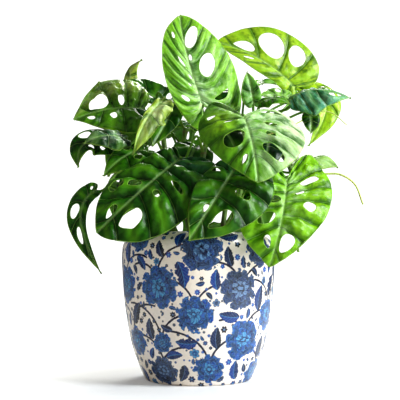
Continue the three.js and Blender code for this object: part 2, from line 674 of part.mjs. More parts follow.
// A blade: its cells on the upper and the lower face, closed along the margin and round each hole
function blade(leaf) {
  const places = [];
  const half = BLADE_THICKNESS / 2;
  const stationsOf = (side) => [0, ...leaf.bays[side], 1];
  const withMiddles = (side) =>
    stationsOf(side).flatMap((v, i, all) => (i ? [(all[i - 1] + v) / 2, v] : [v]));
  const ribStations = [...new Set([...withMiddles(0), ...withMiddles(1)])].sort((a, b) => a - b);

  for (const side of [0, 1]) {
    const put = (points, lifts) => {
      const order = side === 0 ? [0, 2, 1] : [0, 1, 2];
      for (const i of order) {
        const [u, v] = points[i];
        places.push(...bladePoint(leaf, side, u, v, lifts[i] * half).toArray());
      }
    };
    const face = (a, b, c) => {
      put([a, b, c], [1, 1, 1]);
      put([a, c, b], [-1, -1, -1]);
    };
    const wall = (a, b) => {
      put([a, b, b], [1, 1, -1]);
      put([a, b, a], [1, -1, -1]);
    };
    const cell = (inner, outer, from, to, hole) => {
      const border = cellBorder(inner, outer, from, to, ribStations);
      const count = border.length;
      const next = (i) => (i + 1) % count;
      if (hole) {
        const edge = holeEdge(border, hole, from, to);
        for (let i = 0; i < count; i++) {
          face(border[i], edge[next(i)], edge[i]);
          face(border[i], border[next(i)], edge[next(i)]);
          wall(edge[i], edge[next(i)]);
        }
      } else {
        const middle = [(inner + outer) / 2, (from + to) / 2];
        for (let i = 0; i < count; i++) face(border[i], border[next(i)], middle);
      }
      if (outer < 1) return;
      const margin = border.filter(([u]) => u === 1);
      for (let i = 1; i < margin.length; i++) wall(margin[i], margin[i - 1]);
    };
    const stations = stationsOf(side);
    for (let bay = 0; bay < stations.length - 1; bay++) {
      const holes = leaf.holes[side].filter((hole) => hole[0] === bay);
      const [from, to] = [stations[bay], stations[bay + 1]];
      if (holes.length < 2) cell(0, 1, from, to, holes[0]);
      else {
        cell(0, 0.5, from, to, holes[0]);
        cell(0.5, 1, from, to, holes[1]);
      }
    }
  }
  const geometry = new THREE.BufferGeometry();
  geometry.setAttribute("position", new THREE.Float32BufferAttribute(places, 3));
  return solidOf(geometry);
}

// A leaf's stalk runs from inside its stem to under the blade's base
function stalk(leaf) {
  const [[stem, place], ...passes] = leaf.stalk;
  const base = vector(leaf.base);
  const along = vector(leaf.bend).sub(base).normalize();
  const up = vector(leaf.up[0]);
  up.addScaledVector(along, -up.dot(along)).normalize();
  const under = base.clone().addScaledVector(along, STALK_UNDER).addScaledVector(up, -0.6 * STALK_RADIUS);
  const behind = base.clone().addScaledVector(along, -STALK_BEHIND).addScaledVector(up, -STALK_BEHIND);
  const curve = new THREE.CatmullRomCurve3([
    stemCurves[stem].getPoint(place),
    ...passes.map(vector),
    behind,
    under,
  ]);
  return rod(curve, STALK_RADIUS, STALK_SIDES, STALK_STEPS);
}

function leafSolid(row) {
  const bays = row.holes ? USUAL_BAYS : PLAIN_BAYS;
  const leaf = { ...PAIR, bays: [bays, bays], holes: [[], []], ...row };
  if (leaf.holes === "usual") leaf.holes = [USUAL_HOLES, USUAL_HOLES];
  return blade(leaf).add(stalk(leaf)).subtract(stemSpaces[leaf.stalk[0][0]]);
}

function airRoot({ radius, stem: [stem, place], points }) {
  const start = stemCurves[stem].getPoint(place);
  const curve = new THREE.CatmullRomCurve3([start, ...points.map(vector)]);
  return rod(curve, radius, ROOT_SIDES, ROOT_STEPS).subtract(stemSpaces[stem]);
}

// The scene graph
const glazed = new THREE.MeshStandardMaterial({ color: 0xe9e2d6, roughness: 0.2 });
const earth = new THREE.MeshStandardMaterial({ color: 0x4a3626, roughness: 0.95 });
const stemGreen = new THREE.MeshStandardMaterial({ color: 0x5f7f2f, roughness: 0.6 });
const leafGreen = new THREE.MeshStandardMaterial({ color: 0x3f7a22, roughness: 0.4 });
const rootTan = new THREE.MeshStandardMaterial({ color: 0xa9a24e, roughness: 0.7 });

const plant = new THREE.Group();
function place(name, solid, material) {
  const mesh = new THREE.Mesh(geometryOf(solid), material);
  mesh.name = name;
  plant.add(mesh);
}

place("pot", pot(), glazed);
place("soil", soil(stemSpaces), earth);
stemCurves.forEach((curve, i) => place("stem_" + (i + 1), stemSolid(curve, 0), stemGreen));
LEAVES.forEach((row) => place(row.name, leafSolid(row), leafGreen));
AIR_ROOTS.forEach((root) => place(root.name, airRoot(root), rootTan));

export default plant;
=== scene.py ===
# %% [markdown]
# # A potted swiss cheese plant
#
# A young Monstera adansonii grows in a round-shouldered pot with a blue floral print under its glaze.
# The measured model is loaded first. It says where each piece is and how large it is, with plain faceted
# solids. This lesson puts a finely shaped and coloured piece in the place of each of them. Lengths are in
# millimetres until a mesh is made, and in metres from there on.

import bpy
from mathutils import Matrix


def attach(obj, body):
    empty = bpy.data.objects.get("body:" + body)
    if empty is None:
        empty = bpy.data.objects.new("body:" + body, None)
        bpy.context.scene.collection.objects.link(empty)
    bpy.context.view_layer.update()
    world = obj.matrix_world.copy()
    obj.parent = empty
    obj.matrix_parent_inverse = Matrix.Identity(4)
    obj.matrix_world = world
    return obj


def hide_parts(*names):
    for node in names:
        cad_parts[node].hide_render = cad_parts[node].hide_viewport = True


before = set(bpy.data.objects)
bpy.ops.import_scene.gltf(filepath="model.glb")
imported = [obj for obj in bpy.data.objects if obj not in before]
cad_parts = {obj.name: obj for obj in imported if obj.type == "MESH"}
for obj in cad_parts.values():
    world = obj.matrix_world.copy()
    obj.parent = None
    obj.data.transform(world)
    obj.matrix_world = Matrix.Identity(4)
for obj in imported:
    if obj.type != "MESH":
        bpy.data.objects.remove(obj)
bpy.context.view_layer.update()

# %% [markdown]
# ## Tools
#
# Every surface here is worked out with numpy as whole arrays of points. One function hands the points to
# Blender, together with named values for each point that the materials read, such as the distance from a
# vein. Faces are given as triangles, so that nothing has to be guessed about how a bent quad is split.

# %% Hand a surface to Blender
import math

import bpy
import numpy as np

MM = 0.001
TAU = 2 * math.pi


def add_piece(name, surface, material, node):
    """Makes a mesh object from a surface: its points in mm, its triangles, and its values at the points.

    The last triangles are sharp walls, as many as "walls" says, and the others are shaded smooth.
    """
    mesh = bpy.data.meshes.new(name)
    points = (surface["points"] * MM).tolist()
    mesh.from_pydata(points, [], surface["triangles"].tolist(), shade_flat=False)
    walls = surface.get("walls", 0)
    smooth = np.ones(len(surface["triangles"]), bool)
    smooth[len(smooth) - walls:] = False
    mesh.polygons.foreach_set("use_smooth", smooth)
    for key, values in surface.get("values", {}).items():
        if values.ndim == 2:
            colours = np.column_stack([values, np.ones(len(values))])
            mesh.attributes.new(key, "FLOAT_COLOR", "POINT").data.foreach_set("color", colours.ravel())
        else:
            mesh.attributes.new(key, "FLOAT", "POINT").data.foreach_set("value", values)
    mesh.materials.append(material)
    mesh.update()
    piece = bpy.data.objects.new(name, mesh)
    bpy.context.scene.collection.objects.link(piece)
    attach(piece, "root")
    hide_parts(node)
    return piece


print("one millimetre is", MM, "of Blender's metres")

# %% [markdown]
# ## Grids
#
# A surface with two parameters is a grid of points. Its faces follow from the rows and columns alone: a
# quad for each cell, split in two triangles. A body of revolution or a tube is the same grid bent round
# until its last column meets the first, with a point at each end to close it.

# %% Faces of a grid


def split_quads(quads):
    """Two triangles for each quad, without those that have lost a corner."""
    triangles = np.concatenate([quads[:, [0, 1, 2]], quads[:, [0, 2, 3]]])
    a, b, c = triangles.T
    return triangles[(a != b) & (b != c) & (c != a)]


def grid_quads(rows, columns, round_way=False):
    """The quads of a grid of points, row by row. round_way joins the last column to the first."""
    row, column = np.meshgrid(np.arange(rows - 1), np.arange(columns - (not round_way)), indexing="ij")
    right = (column + 1) % columns
    start = row * columns
    corners = [start + column, start + right, start + columns + right, start + columns + column]
    return np.stack(corners, -1).reshape(-1, 4)


def ring_triangles(rings, sides):
    """The triangles of a closed body: rings of points, then the two points that close its ends."""
    count = rings * sides
    last = count - sides
    first, second = np.arange(sides), (np.arange(sides) + 1) % sides
    caps = [
        np.column_stack([second, first, np.full(sides, count)]),
        np.column_stack([last + first, last + second, np.full(sides, count + 1)]),
    ]
    return np.concatenate([split_quads(grid_quads(rings, sides, round_way=True)), *caps])


def join(surfaces):
    """Several closed surfaces as one mesh. All have the same values, and only the last has sharp walls."""
    starts = np.cumsum([0] + [len(s["points"]) for s in surfaces[:-1]])
    keys = surfaces[0]["values"]
    return {
        "points": np.concatenate([s["points"] for s in surfaces]),
        "triangles": np.concatenate([s["triangles"] + start for s, start in zip(surfaces, starts)]),
        "walls": surfaces[-1]["walls"],
        "values": {key: np.concatenate([s["values"][key] for s in surfaces]) for key in keys},
    }


print("a closed body of 3 rings of 8 points has", len(ring_triangles(3, 8)), "triangles")

# %% [markdown]
# ## Curves
#
# Two kinds of smooth line run through the whole plant. The outline of a blade and of the pot's wall is a
# uniform spline through a few flat points. Stems, stalks and roots follow a centripetal spline through
# points in space, which never loops or overshoots where two points lie close together.

# %% Splines


def unit(vectors):
    """The vectors at length one."""
    return vectors / np.linalg.norm(vectors, axis=-1, keepdims=True)


def path_length(line):
    """How far along its line each point lies, in mm."""
    return np.concatenate([[0], np.cumsum(np.linalg.norm(np.diff(line, axis=0), axis=1))])


def flat_spline(corners, t):
    """A uniform Catmull-Rom spline through corners, for t from 0 at the first to 1 at the last."""
    corners = np.asarray(corners, float)
    last = len(corners) - 1
    place = np.clip(t, 0, 1) * last
    i = np.minimum(place.astype(int), last - 1)
    f = (place - i)[..., None]
    before, start, end, after = (corners[np.clip(i + k, 0, last)] for k in (-1, 0, 1, 2))
    slope_0, slope_1 = (end - before) / 2, (after - start) / 2
    return (
        (2 * start - 2 * end + slope_0 + slope_1) * f**3
        + (3 * end - 3 * start - 2 * slope_0 - slope_1) * f**2
        + slope_0 * f
        + start
    )


def space_spline(corners, t):
    """A centripetal Catmull-Rom spline: the root of each span's length sets how fast the line passes it."""
    corners = np.asarray(corners, float)
    corners = np.vstack([2 * corners[0] - corners[1], corners, 2 * corners[-1] - corners[-2]])
    spans = np.sqrt(np.linalg.norm(np.diff(corners, axis=0), axis=1))[:, None]
    last = len(corners) - 3
    place = np.clip(t, 0, 1) * last
    i = np.minimum(place.astype(int), last - 1)
    f = (place - i)[..., None]
    p0, p1, p2, p3 = (corners[i + k] for k in range(4))
    d0, d1, d2 = (spans[i + k] for k in range(3))
    slope_1 = ((p1 - p0) / d0 - (p2 - p0) / (d0 + d1) + (p2 - p1) / d1) * d1
    slope_2 = ((p2 - p1) / d1 - (p3 - p1) / (d1 + d2) + (p3 - p2) / d2) * d1
    return (
        p1
        + slope_1 * f
        + (3 * p2 - 3 * p1 - 2 * slope_1 - slope_2) * f**2
        + (2 * p1 - 2 * p2 + slope_1 + slope_2) * f**3
    )


print("a curve through three corners, half way:", flat_spline([[0, 0], [1, 1], [2, 0]], np.array([0.5])))

# %% [markdown]
# ## Tubes
#
# Stems, stalks and roots are round rods along a line in space. Blender can bevel a curve for this. A grid
# of its own is made here instead, because the rod's radius and its colour change along it.

# %% A tube along a line


def tube(path, radius, sides, values):
    """A closed tube along path: a ring of points round each place, at its radius, and a point at each end.

    The rings stand on two directions: one square to both the path and the direction in which the path
    bends least, and one square to that and to the path. values are given for each place on the path.
    """
    along = unit(np.gradient(path, axis=0))
    flattest = np.linalg.svd(path - path.mean(0))[2][-1]
    across = unit(np.cross(along, flattest))
    above = np.cross(across, along)
    turn = np.arange(sides) / sides * TAU
    ring = across[:, None] * np.cos(turn)[:, None] + above[:, None] * np.sin(turn)[:, None]
    points = (path[:, None] + ring * radius[:, None, None]).reshape(-1, 3)
    ends = [path[0] - along[0] * radius[0] / 2, path[-1] + along[-1] * radius[-1] / 2]
    return {
        "points": np.vstack([points, *ends]),
        "triangles": ring_triangles(len(path), sides),
        "values": {key: np.concatenate([np.repeat(v, sides, 0), v[:1], v[-1:]]) for key, v in values.items()},
    }


straight = np.linspace([0, 0, 0], [9, 1, 5], 4)
print("a tube of 4 rings of 6 points has", len(tube(straight, np.ones(4), 6, {})["points"]), "points")

# %% [markdown]
# ## Colours
#
# Colours are written as they look on a screen and turned into the linear values that light is worked out
# in. Each finish starts from Blender's Principled shader, which has a socket for every trait of a surface.

# %% Colours and materials


def paint(code):
    """A screen colour such as "#ff8000" as linear red, green and blue."""
    screen = np.array([int(code[i:i + 2], 16) for i in (1, 3, 5)]) / 255
    return np.where(screen <= 0.04045, screen / 12.92, ((screen + 0.055) / 1.055) ** 2.4)


def new_material(name, **settings):
    """A material with its Principled shader's plain sockets set; returns it with its tree and shader."""
    material = bpy.data.materials.new(name)
    material.use_nodes = True
    tree = material.node_tree
    shader = next(node for node in tree.nodes if node.type == "BSDF_PRINCIPLED")
    for key, value in settings.items():
        shader.inputs[key.replace("_", " ")].default_value = value
    return material, tree, shader


print("leaf green as linear light:", paint("#4c8c26").round(3))

# %% [markdown]
# ## Wires
#
# A material's patterns are sums. A wire stands here for one value that runs between two nodes, and adding
# or multiplying two wires adds the Math node that does it. So a pattern reads like a line of arithmetic.

# %% A wire and its arithmetic


class Wire:
    """A value on its way between two nodes of a material."""

    def __init__(self, tree, socket):
        self.tree = tree
        self.socket = socket

    def math(self, operation, *others):
        """A Math node on this wire and the others."""
        node = self.tree.nodes.new("ShaderNodeMath")
        node.operation = operation
        for socket, value in zip(node.inputs, (self, *others)):
            plug(self.tree, socket, value)
        return Wire(self.tree, node.outputs[0])

    def __add__(self, other):
        return self.math("ADD", other)

    def __sub__(self, other):
        return self.math("SUBTRACT", other)

    def __rsub__(self, other):
        return (self * -1) + other

    def __mul__(self, other):
        return self.math("MULTIPLY", other)

    def __truediv__(self, other):
        return self.math("DIVIDE", other)

    def __rtruediv__(self, other):
        return (self ** -1.0) * other

    def __pow__(self, other):
        return self.math("POWER", other)

    __radd__ = __add__

    def unsigned(self):
        """The value without its sign."""
        return self.math("ABSOLUTE")

    def over(self, low, high):
        """0 below low, 1 above high, and a smooth step between. low may be the larger one."""
        node = self.tree.nodes.new("ShaderNodeMapRange")
        node.interpolation_type = "SMOOTHSTEP"
        for socket, value in zip(node.inputs, (self, low, high, 0.0, 1.0)):
            plug(self.tree, socket, value)
        return Wire(self.tree, node.outputs[0])


def plug(tree, socket, value):
    """Sets a socket to a number or a colour, or links a wire to it."""
    if isinstance(value, Wire):
        tree.links.new(value.socket, socket)
    elif isinstance(value, np.ndarray):
        socket.default_value = (*value, 1.0)
    else:
        socket.default_value = value


print("beside arithmetic a wire can do:", [name for name in vars(Wire) if not name.startswith("_")])

# %% [markdown]
# ## Patterns
#
# Four nodes serve all the finishes: a value stored at the mesh's points, soft noise, one colour laid over
# another, and a bump. The noise is fixed to the object, so it stays where it is when the picture is taken
# from another side.

# %% Nodes that read, scatter, lay over and raise


def reading(tree, name, colour=False):
    """A value that add_piece stored at the mesh's points."""
    node = tree.nodes.new("ShaderNodeAttribute")
    node.attribute_name = name
    return Wire(tree, node.outputs["Color" if colour else "Fac"])


def noise(tree, size_mm, detail=2.0, stretch=(1, 1, 1)):
    """Soft random variation about 0.5, with lumps of about this size, fixed to the object."""
    place = tree.nodes.new("ShaderNodeTexCoord")
    mapping = tree.nodes.new("ShaderNodeMapping")
    mapping.inputs["Scale"].default_value = stretch
    node = tree.nodes.new("ShaderNodeTexNoise")
    node.inputs["Scale"].default_value = 1 / (size_mm * MM)
    node.inputs["Detail"].default_value = detail
    tree.links.new(place.outputs["Object"], mapping.inputs["Vector"])
    tree.links.new(mapping.outputs["Vector"], node.inputs["Vector"])
    return Wire(tree, node.outputs["Fac"])


def blend(tree, amount, below, above, way="MIX"):
    """One colour laid over another by an amount from 0 to 1."""
    node = tree.nodes.new("ShaderNodeMix")
    node.data_type = "RGBA"
    node.blend_type = way
    factor, first, second, result = node.inputs[0], node.inputs[6], node.inputs[7], node.outputs[2]
    plug(tree, factor, amount)
    plug(tree, first, below)
    plug(tree, second, above)
    return Wire(tree, result)


def bump(tree, height, depth_mm, strength):
    """Shades the surface as if it stood out by height times depth_mm."""
    node = tree.nodes.new("ShaderNodeBump")
    node.inputs["Distance"].default_value = depth_mm * MM
    node.inputs["Strength"].default_value = strength
    plug(tree, node.inputs["Height"], height)
    return Wire(tree, node.outputs["Normal"])


print("noise of 5 mm has the scale", 1 / (5 * MM))

# %% [markdown]
# ## The stems
#
# Five stems stand in the soil. A stem of this plant is a smooth round vine with a ring at every place
# where a leaf has grown, and it ends in a blunt shoot. Each is a tube along the measured line, a little
# thicker at the rings.

# %% The stems' lines, as in the measured model
STEM_RADIUS = 3
STEM_FOOT = 98
STEMS = [
    [[-22, -8, 130], [-30, -8, 175], [-34, -2, 222], [-38, 6, 258]],
    [[5, -22, 130], [2, -22, 180], [6, -12, 230]],
    [[30, -6, 130], [40, -8, 175], [54, -2, 225], [72, 6, 262]],
    [[-8, 26, 130], [-14, 30, 180], [-18, 34, 225], [-14, 36, 262]],
    [[24, 28, 130], [30, 32, 180], [40, 34, 225], [50, 34, 255]],
]


def stem_line(stem, t):
    """A stem's middle line in mm, from its foot in the soil (0) to its top (1)."""
    points = STEMS[stem]
    return space_spline([[*points[0][:2], STEM_FOOT], *points], t)


print("stem heights in mm:", [points[-1][2] for points in STEMS])

# %% [markdown]
# ## The leaves, as the measured model has them
#
# Each row holds one leaf: three points that steer its midrib, the direction that its face looks in at
# the base and at the tip, and for its left and its right half the width, the depth of the lobe, how far
# the widest place sits toward the tip, how blunt the tip is, the fold at the midrib and the curl of the
# edge. The bays are the stretches of the blade between two side veins, and each number is where one ends
# on the way from base to tip. A hole has the number of its bay, how far from the midrib it starts and ends,
# and its middle and its height as parts of the bay; the usual holes are three. A stalk starts on a stem,
# part of the way up, and runs through the points that follow.

# %% The leaf table
LEAVES = [
    # the tall one on top
    dict(
        name="leaf_01", base=[5, -14, 271], bend=[-15, -44, 319], tip=[-19, -18, 366],
        up=[[0.15, -1, 0.2], [0.1, -0.9, 0.4]], wide=[29, 48], lobe=[1.6, 1.5], peak=[0, -0.19],
        full=[0.78, 0.62], fold=[12, 10], curl=[20, 30], sweep=4, bow=[0.25, 0.6],
        bays=[[0.3, 0.48, 0.575, 0.67, 0.735, 0.8, 0.88], [0.35, 0.5, 0.65, 0.695, 0.8, 0.855, 0.93]],
        holes=[
            [[2, 0.42, 0.66, 0.5, 0.4], [3, 0.18, 0.3, 0.8, 0.22], [4, 0.06, 0.22, 0.65, 0.4],
             [5, 0.24, 0.56, 0.32, 0.3], [6, 0.68, 0.83, 0.35, 0.35]],
            [[2, 0.28, 0.68, 0.55, 0.25], [4, 0.22, 0.7, 0.52, 0.84], [5, 0.03, 0.15, 0.5, 0.5],
             [6, 0.03, 0.83, 0.46, 0.86]],
        ],
        stalk=[[1, 0.97], [10, -5, 252]],
    ),
    # the broad silvery one at the front right
    dict(
        name="leaf_02", base=[43, -52, 251], bend=[50, -92, 218], tip=[52, -98, 179],
        up=[[0.05, -0.75, 0.65], [0, -1, 0]], wide=[60, 46], lobe=[1.2, 3], peak=[-0.2, -0.25],
        full=[0.7, 0.8], curl=[30, 40], sweep=4, bow=[0.6, 0.1],
        bays=[[0.22, 0.42, 0.59, 0.71, 0.79, 0.9], [0.25, 0.5, 0.66, 0.81, 0.9]],
        holes=[
            [[2, 0.28, 0.76, 0.56, 0.24], [3, 0.3, 0.55, 0.65, 0.22], [4, 0.33, 0.57, 0.6, 0.3],
             [5, 0.3, 0.9, 0.5, 0.5]],
            [[1, 0.58, 0.8, 0.72, 0.2], [2, 0.15, 0.45, 0.45, 0.2], [3, 0.14, 0.72, 0.53, 0.67],
             [4, 0.36, 0.78, 0.6, 0.3]],
        ],
        stalk=[[2, 0.75], [48, -22, 250]],
    ),
    # the dark one in the middle
    dict(
        name="leaf_03", base=[35, -62, 200], bend=[15, -96, 164], tip=[-8, -100, 128],
        up=[[-0.1, -0.9, 0.45], [0, -1, 0]], wide=[45, 24], fold=[10, 10], curl=[30, 30],
        bays=[[0.25, 0.4, 0.53, 0.68, 0.88], [0.25, 0.38, 0.53, 0.7, 0.86]],
        holes=[
            [[3, 0.3, 0.62, 0.45, 0.4], [4, 0.38, 0.76, 0.5, 0.7]],
            [[2, 0.4, 0.75, 0.55, 0.3], [4, 0.1, 0.38, 0.5, 0.4]],
        ],
        stalk=[[2, 0.35], [40, -32, 196]],
    ),
    # the large dark one over the left of the pot
    dict(
        name="leaf_04", base=[-17, -42, 212], bend=[-52, -82, 175], tip=[-89, -86, 136],
        up=[[-0.1, -0.75, 0.65], [-0.3, -0.9, 0.2]], wide=[54, 38], peak=[0.15, 0.05], full=[0.5, 0.75],
        fold=[10, 10], curl=[30, 30],
        bays=[[0.2, 0.34, 0.47, 0.6, 0.74, 0.91], [0.2, 0.36, 0.49, 0.62, 0.77, 0.93]],
        holes=[
            [[3, 0.3, 0.66, 0.5, 0.25], [4, 0.24, 0.42, 0.4, 0.3], [5, 0.28, 0.68, 0.5, 0.75]],
            [[1, 0.6, 0.88, 0.5, 0.35], [4, 0.14, 0.46, 0.4, 0.35], [4, 0.54, 0.84, 0.55, 0.5],
             [5, 0.18, 0.52, 0.65, 0.5]],
        ],
        stalk=[[1, 0.95], [-2, -30, 236]],
    ),
    # the upper left one
    dict(
        name="leaf_05", base=[-57, 8, 275], bend=[-92, -15, 273], tip=[-126, -18, 256],
        up=[[0, -0.75, 0.65], [0, -0.75, 0.65]], wide=[38, 54], lobe=[0.3, 1], peak=[0, -0.2],
        full=[0.9, 1], fold=[0, 10], curl=[20, 10],
        bays=[[0.2, 0.4, 0.6, 0.78, 0.92], [0.2, 0.36, 0.52, 0.68, 0.87]],
        holes=[
            [[3, 0.3, 0.5, 0.5, 0.3], [4, 0.48, 0.72, 0.45, 0.4]],
            [[3, 0.06, 0.36, 0.45, 0.4], [4, 0.08, 0.64, 0.5, 0.8]],
        ],
        stalk=[[0, 0.97], [-46, 10, 268]],
    ),
    # the bright one at the lower right
    dict(
        name="leaf_06", base=[84, -50, 191], bend=[76, -86, 146], tip=[63, -80, 106],
        up=[[0.1, -0.9, 0.4], [0, -1, -0.1]], wide=[44, 40], lobe=[2.2, 1.5], peak=[-0.2, 0.15],
        full=[1, 0.8], fold=[8, 8], curl=[25, 25],
        bays=[[0.2, 0.34, 0.48, 0.565, 0.68, 0.77, 0.91], [0.2, 0.34, 0.46, 0.6, 0.76, 0.9]],
        holes=[
            [[2, 0.3, 0.72, 0.55, 0.4], [3, 0.16, 0.38, 0.35, 0.5], [4, 0.4, 0.7, 0.45, 0.5],
             [6, 0.18, 0.78, 0.45, 0.75]],
            [[3, 0.1, 0.4, 0.6, 0.4], [4, 0.2, 0.62, 0.5, 0.5], [5, 0.34, 0.6, 0.5, 0.6]],
        ],
        stalk=[[2, 0.3], [58, -22, 184], [76, -38, 196]],
    ),
    # the arching one at the upper right
    dict(
        name="leaf_07", base=[105, 22, 301], bend=[74, 10, 334], tip=[20, 8, 348],
        up=[[0, -0.8, 0.6], [0, -0.64, 0.77]], wide=[15, 46], lobe=[1, 1.2], peak=[0.15, 0.05],
        full=[0.5, 0.7], fold=[-20, 30], curl=[10, 10],
        bays=[[0.3, 0.5, 0.68, 0.82], [0.22, 0.4, 0.57, 0.76, 0.93]],
        holes=[
            [[3, 0.3, 0.7, 0.5, 0.3]],
            [[2, 0.35, 0.86, 0.5, 0.8], [3, 0.2, 0.84, 0.5, 0.85], [4, 0.08, 0.5, 0.5, 0.75]],
        ],
        stalk=[[4, 0.97], [76, 34, 278]],
    ),
    # the drooping one at the far left
    dict(
        name="leaf_08", base=[-97, -45, 180], bend=[-127, -52, 162], tip=[-89, -50, 101],
        up=[[-0.1, -0.9, 0.3], [-0.1, -1, 0]], wide=[9, 14], lobe=[0.6, 0.6], fold=[-60, 5],
        curl=[20, 20], bays=[[0.3, 0.5, 0.7, 0.87], [0.25, 0.4, 0.55, 0.7, 0.87]],
        holes=[[], [[1, 0.3, 0.6, 0.5, 0.4], [3, 0.15, 0.75, 0.5, 0.7], [4, 0.2, 0.7, 0.5, 0.5]]],
        stalk=[[0, 0.3], [-62, -30, 172], [-86, -40, 184]],
    ),
    # behind the upper left one
    dict(
        name="leaf_09", base=[-36, 42, 289], bend=[-54, 40, 305], tip=[-89, 38, 313],
        up=[[0, -0.7, 0.7], [0, -0.7, 0.7]], wide=[16, 26], fold=[10, 10], curl=[10, 10],
        holes=[[[2, 0.3, 0.7, 0.5, 0.4]], [[1, 0.3, 0.8, 0.5, 0.5], [3, 0.3, 0.7, 0.5, 0.5]]],
        stalk=[[3, 0.97], [-24, 40, 276]],
    ),
    # a young one standing at the upper left
    dict(
        name="leaf_10", base=[-73, 58, 308], bend=[-87, 58, 336], tip=[-64, 56, 346],
        up=[[-0.3, -0.9, 0.2], [0, -0.7, 0.7]], wide=[11, 9], fold=[-30, -30], curl=[10, 10],
        stalk=[[3, 0.85], [-38, 52, 268], [-62, 60, 284]],
    ),
    # a young, crumpled, yellow one
    dict(
        name="leaf_11", base=[-35, -26, 273], bend=[-53, -42, 256], tip=[-62, -50, 213],
        up=[[0.3, -0.8, 0.5], [0.3, -0.95, 0]], wide=[17, 5], fold=[20, 20], curl=[20, 20],
        ripple=[2.5, 5], stalk=[[0, 0.9], [-43, -3, 270], [-41, -14, 285]],
    ),
    # behind the yellow one
    dict(
        name="leaf_12", base=[-26, -8, 275], bend=[-30, -22, 252], tip=[-45, -34, 225],
        up=[[0, -1, 0.3], [0, -0.9, 0.3]], wide=[13, 20], fold=[10, 10], curl=[20, 20],
        stalk=[[0, 0.85], [-30, 4, 266]],
    ),
    # at the far left
    dict(
        name="leaf_13", base=[-89, -28, 227], bend=[-121, -36, 239], tip=[-116, -38, 203],
        up=[[-0.2, -0.8, 0.6], [-0.6, -0.8, 0]], wide=[18, 18], fold=[10, 10], curl=[20, 20],
        holes=[[[1, 0.3, 0.7, 0.5, 0.4], [2, 0.3, 0.8, 0.5, 0.6]], [[2, 0.3, 0.8, 0.5, 0.5]]],
        stalk=[[0, 0.48], [-60, -8, 206]],
    ),
    # small, in front of the one at the far left
    dict(
        name="leaf_14", base=[-71, -34, 233], bend=[-91, -50, 238], tip=[-109, -50, 224],
        up=[[0, -0.7, 0.7], [0, -0.8, 0.6]], wide=[18, 16], fold=[-5, -5], curl=[20, 20],
        stalk=[[0, 0.75], [-50, -8, 247]],
    ),
    # behind the large dark one
    dict(
        name="leaf_15", base=[-52, -14, 226], bend=[-72, -32, 222], tip=[-92, -36, 195],
        up=[[-0.2, -0.8, 0.5], [-0.2, -0.9, 0.2]], wide=[24, 15], fold=[10, 10], curl=[20, 20],
        holes=[
            [[1, 0.3, 0.7, 0.5, 0.4], [2, 0.3, 0.7, 0.5, 0.4]],
            [[1, 0.3, 0.7, 0.5, 0.4], [2, 0.3, 0.7, 0.5, 0.4]],
        ],
        stalk=[[0, 0.62], [-41, -8, 216]],
    ),
    # yellow-green, behind on the right
    dict(
        name="leaf_16", base=[112, 42, 304], bend=[162, 24, 302], tip=[116, 16, 236],
        up=[[0.1, -0.9, 0.5], [0.1, -1, 0]], wide=[20, 17], fold=[5, 5], curl=[20, 20],
        holes=[[[2, 0.3, 0.75, 0.5, 0.5]], [[1, 0.3, 0.75, 0.5, 0.4], [2, 0.3, 0.75, 0.5, 0.5]]],
        stalk=[[2, 0.97], [94, 32, 282]],
    ),
    # the bluish arch on the right
    dict(
        name="leaf_17", base=[91, -22, 275], bend=[113, -30, 295], tip=[153, -26, 276],
        up=[[0, -0.5, 0.85], [0, -0.5, 0.85]], wide=[18, 26], peak=[0, 0.1], fold=[-10, -40],
        curl=[40, 20], holes=[[[2, 0.3, 0.7, 0.5, 0.4]], [[3, 0.3, 0.7, 0.5, 0.4]]],
        stalk=[[2, 0.95], [80, -8, 266]],
    ),
    # a small dark one hanging on the right
    dict(
        name="leaf_18", base=[114, -14, 264], bend=[114, -20, 252], tip=[113, -20, 241],
        up=[[0, -1, 0.2], [0, -1, 0]], wide=[9, 9], fold=[5, 5], curl=[20, 20],
        stalk=[[2, 0.9], [92, 2, 262], [108, -2, 268]],
    ),
    # a pale one behind the bright one
    dict(
        name="leaf_19", base=[95, -10, 212], bend=[116, -20, 224], tip=[139, -22, 206],
        up=[[0, -0.3, 0.9], [0, -0.6, 0.6]], wide=[18, 16], fold=[0, -30], curl=[20, 20],
        stalk=[[2, 0.5], [72, -6, 206]],
    ),
    # a small one standing between the top and the right
    dict(
        name="leaf_20", base=[57, -4, 276], bend=[55, -10, 291], tip=[50, -8, 310],
        up=[[0, -1, 0.2], [0, -1, 0.2]], wide=[11, 9], fold=[10, 10], curl=[10, 10],
        stalk=[[2, 0.66], [58, 4, 258]],
    ),
    # a small level one beside it
    dict(
        name="leaf_21", base=[52, 4, 297], bend=[67, 2, 305], tip=[82, 0, 299],
        up=[[0, -0.5, 0.85], [0, -0.5, 0.85]], wide=[14, 12], fold=[5, 5], curl=[10, 10],
        stalk=[[4, 0.9], [48, 22, 280]],
    ),
    # a pale level one
    dict(
        name="leaf_22", base=[96, 6, 287], bend=[79, 4, 292], tip=[64, 2, 287],
        up=[[0, -0.7, 0.7], [0, -0.7, 0.7]], wide=[18, 12], fold=[5, 5], curl=[10, 10],
        holes=[[[2, 0.3, 0.7, 0.5, 0.5]], [[2, 0.3, 0.7, 0.5, 0.5]]],
        stalk=[[2, 0.94], [88, 9, 272], [101, 8, 281]],
    ),
    # a dark level one over the broad one
    dict(
        name="leaf_23", base=[62, -22, 273], bend=[77, -26, 282], tip=[91, -33, 268],
        up=[[0, -0.6, 0.8], [0, -0.6, 0.8]], wide=[8, 14], fold=[-5, -5], curl=[20, 20],
        stalk=[[2, 0.8], [62, -10, 258]],
    ),
    # at the back left, over the rim
    dict(
        name="leaf_24", base=[-50, 44, 208], bend=[-80, 80, 217], tip=[-98, 104, 162],
        up=[[-0.3, 0.6, 0.8], [-0.5, 0.8, 0.2]], wide=[34, 34], fold=[8, 8], curl=[25, 25], holes="usual",
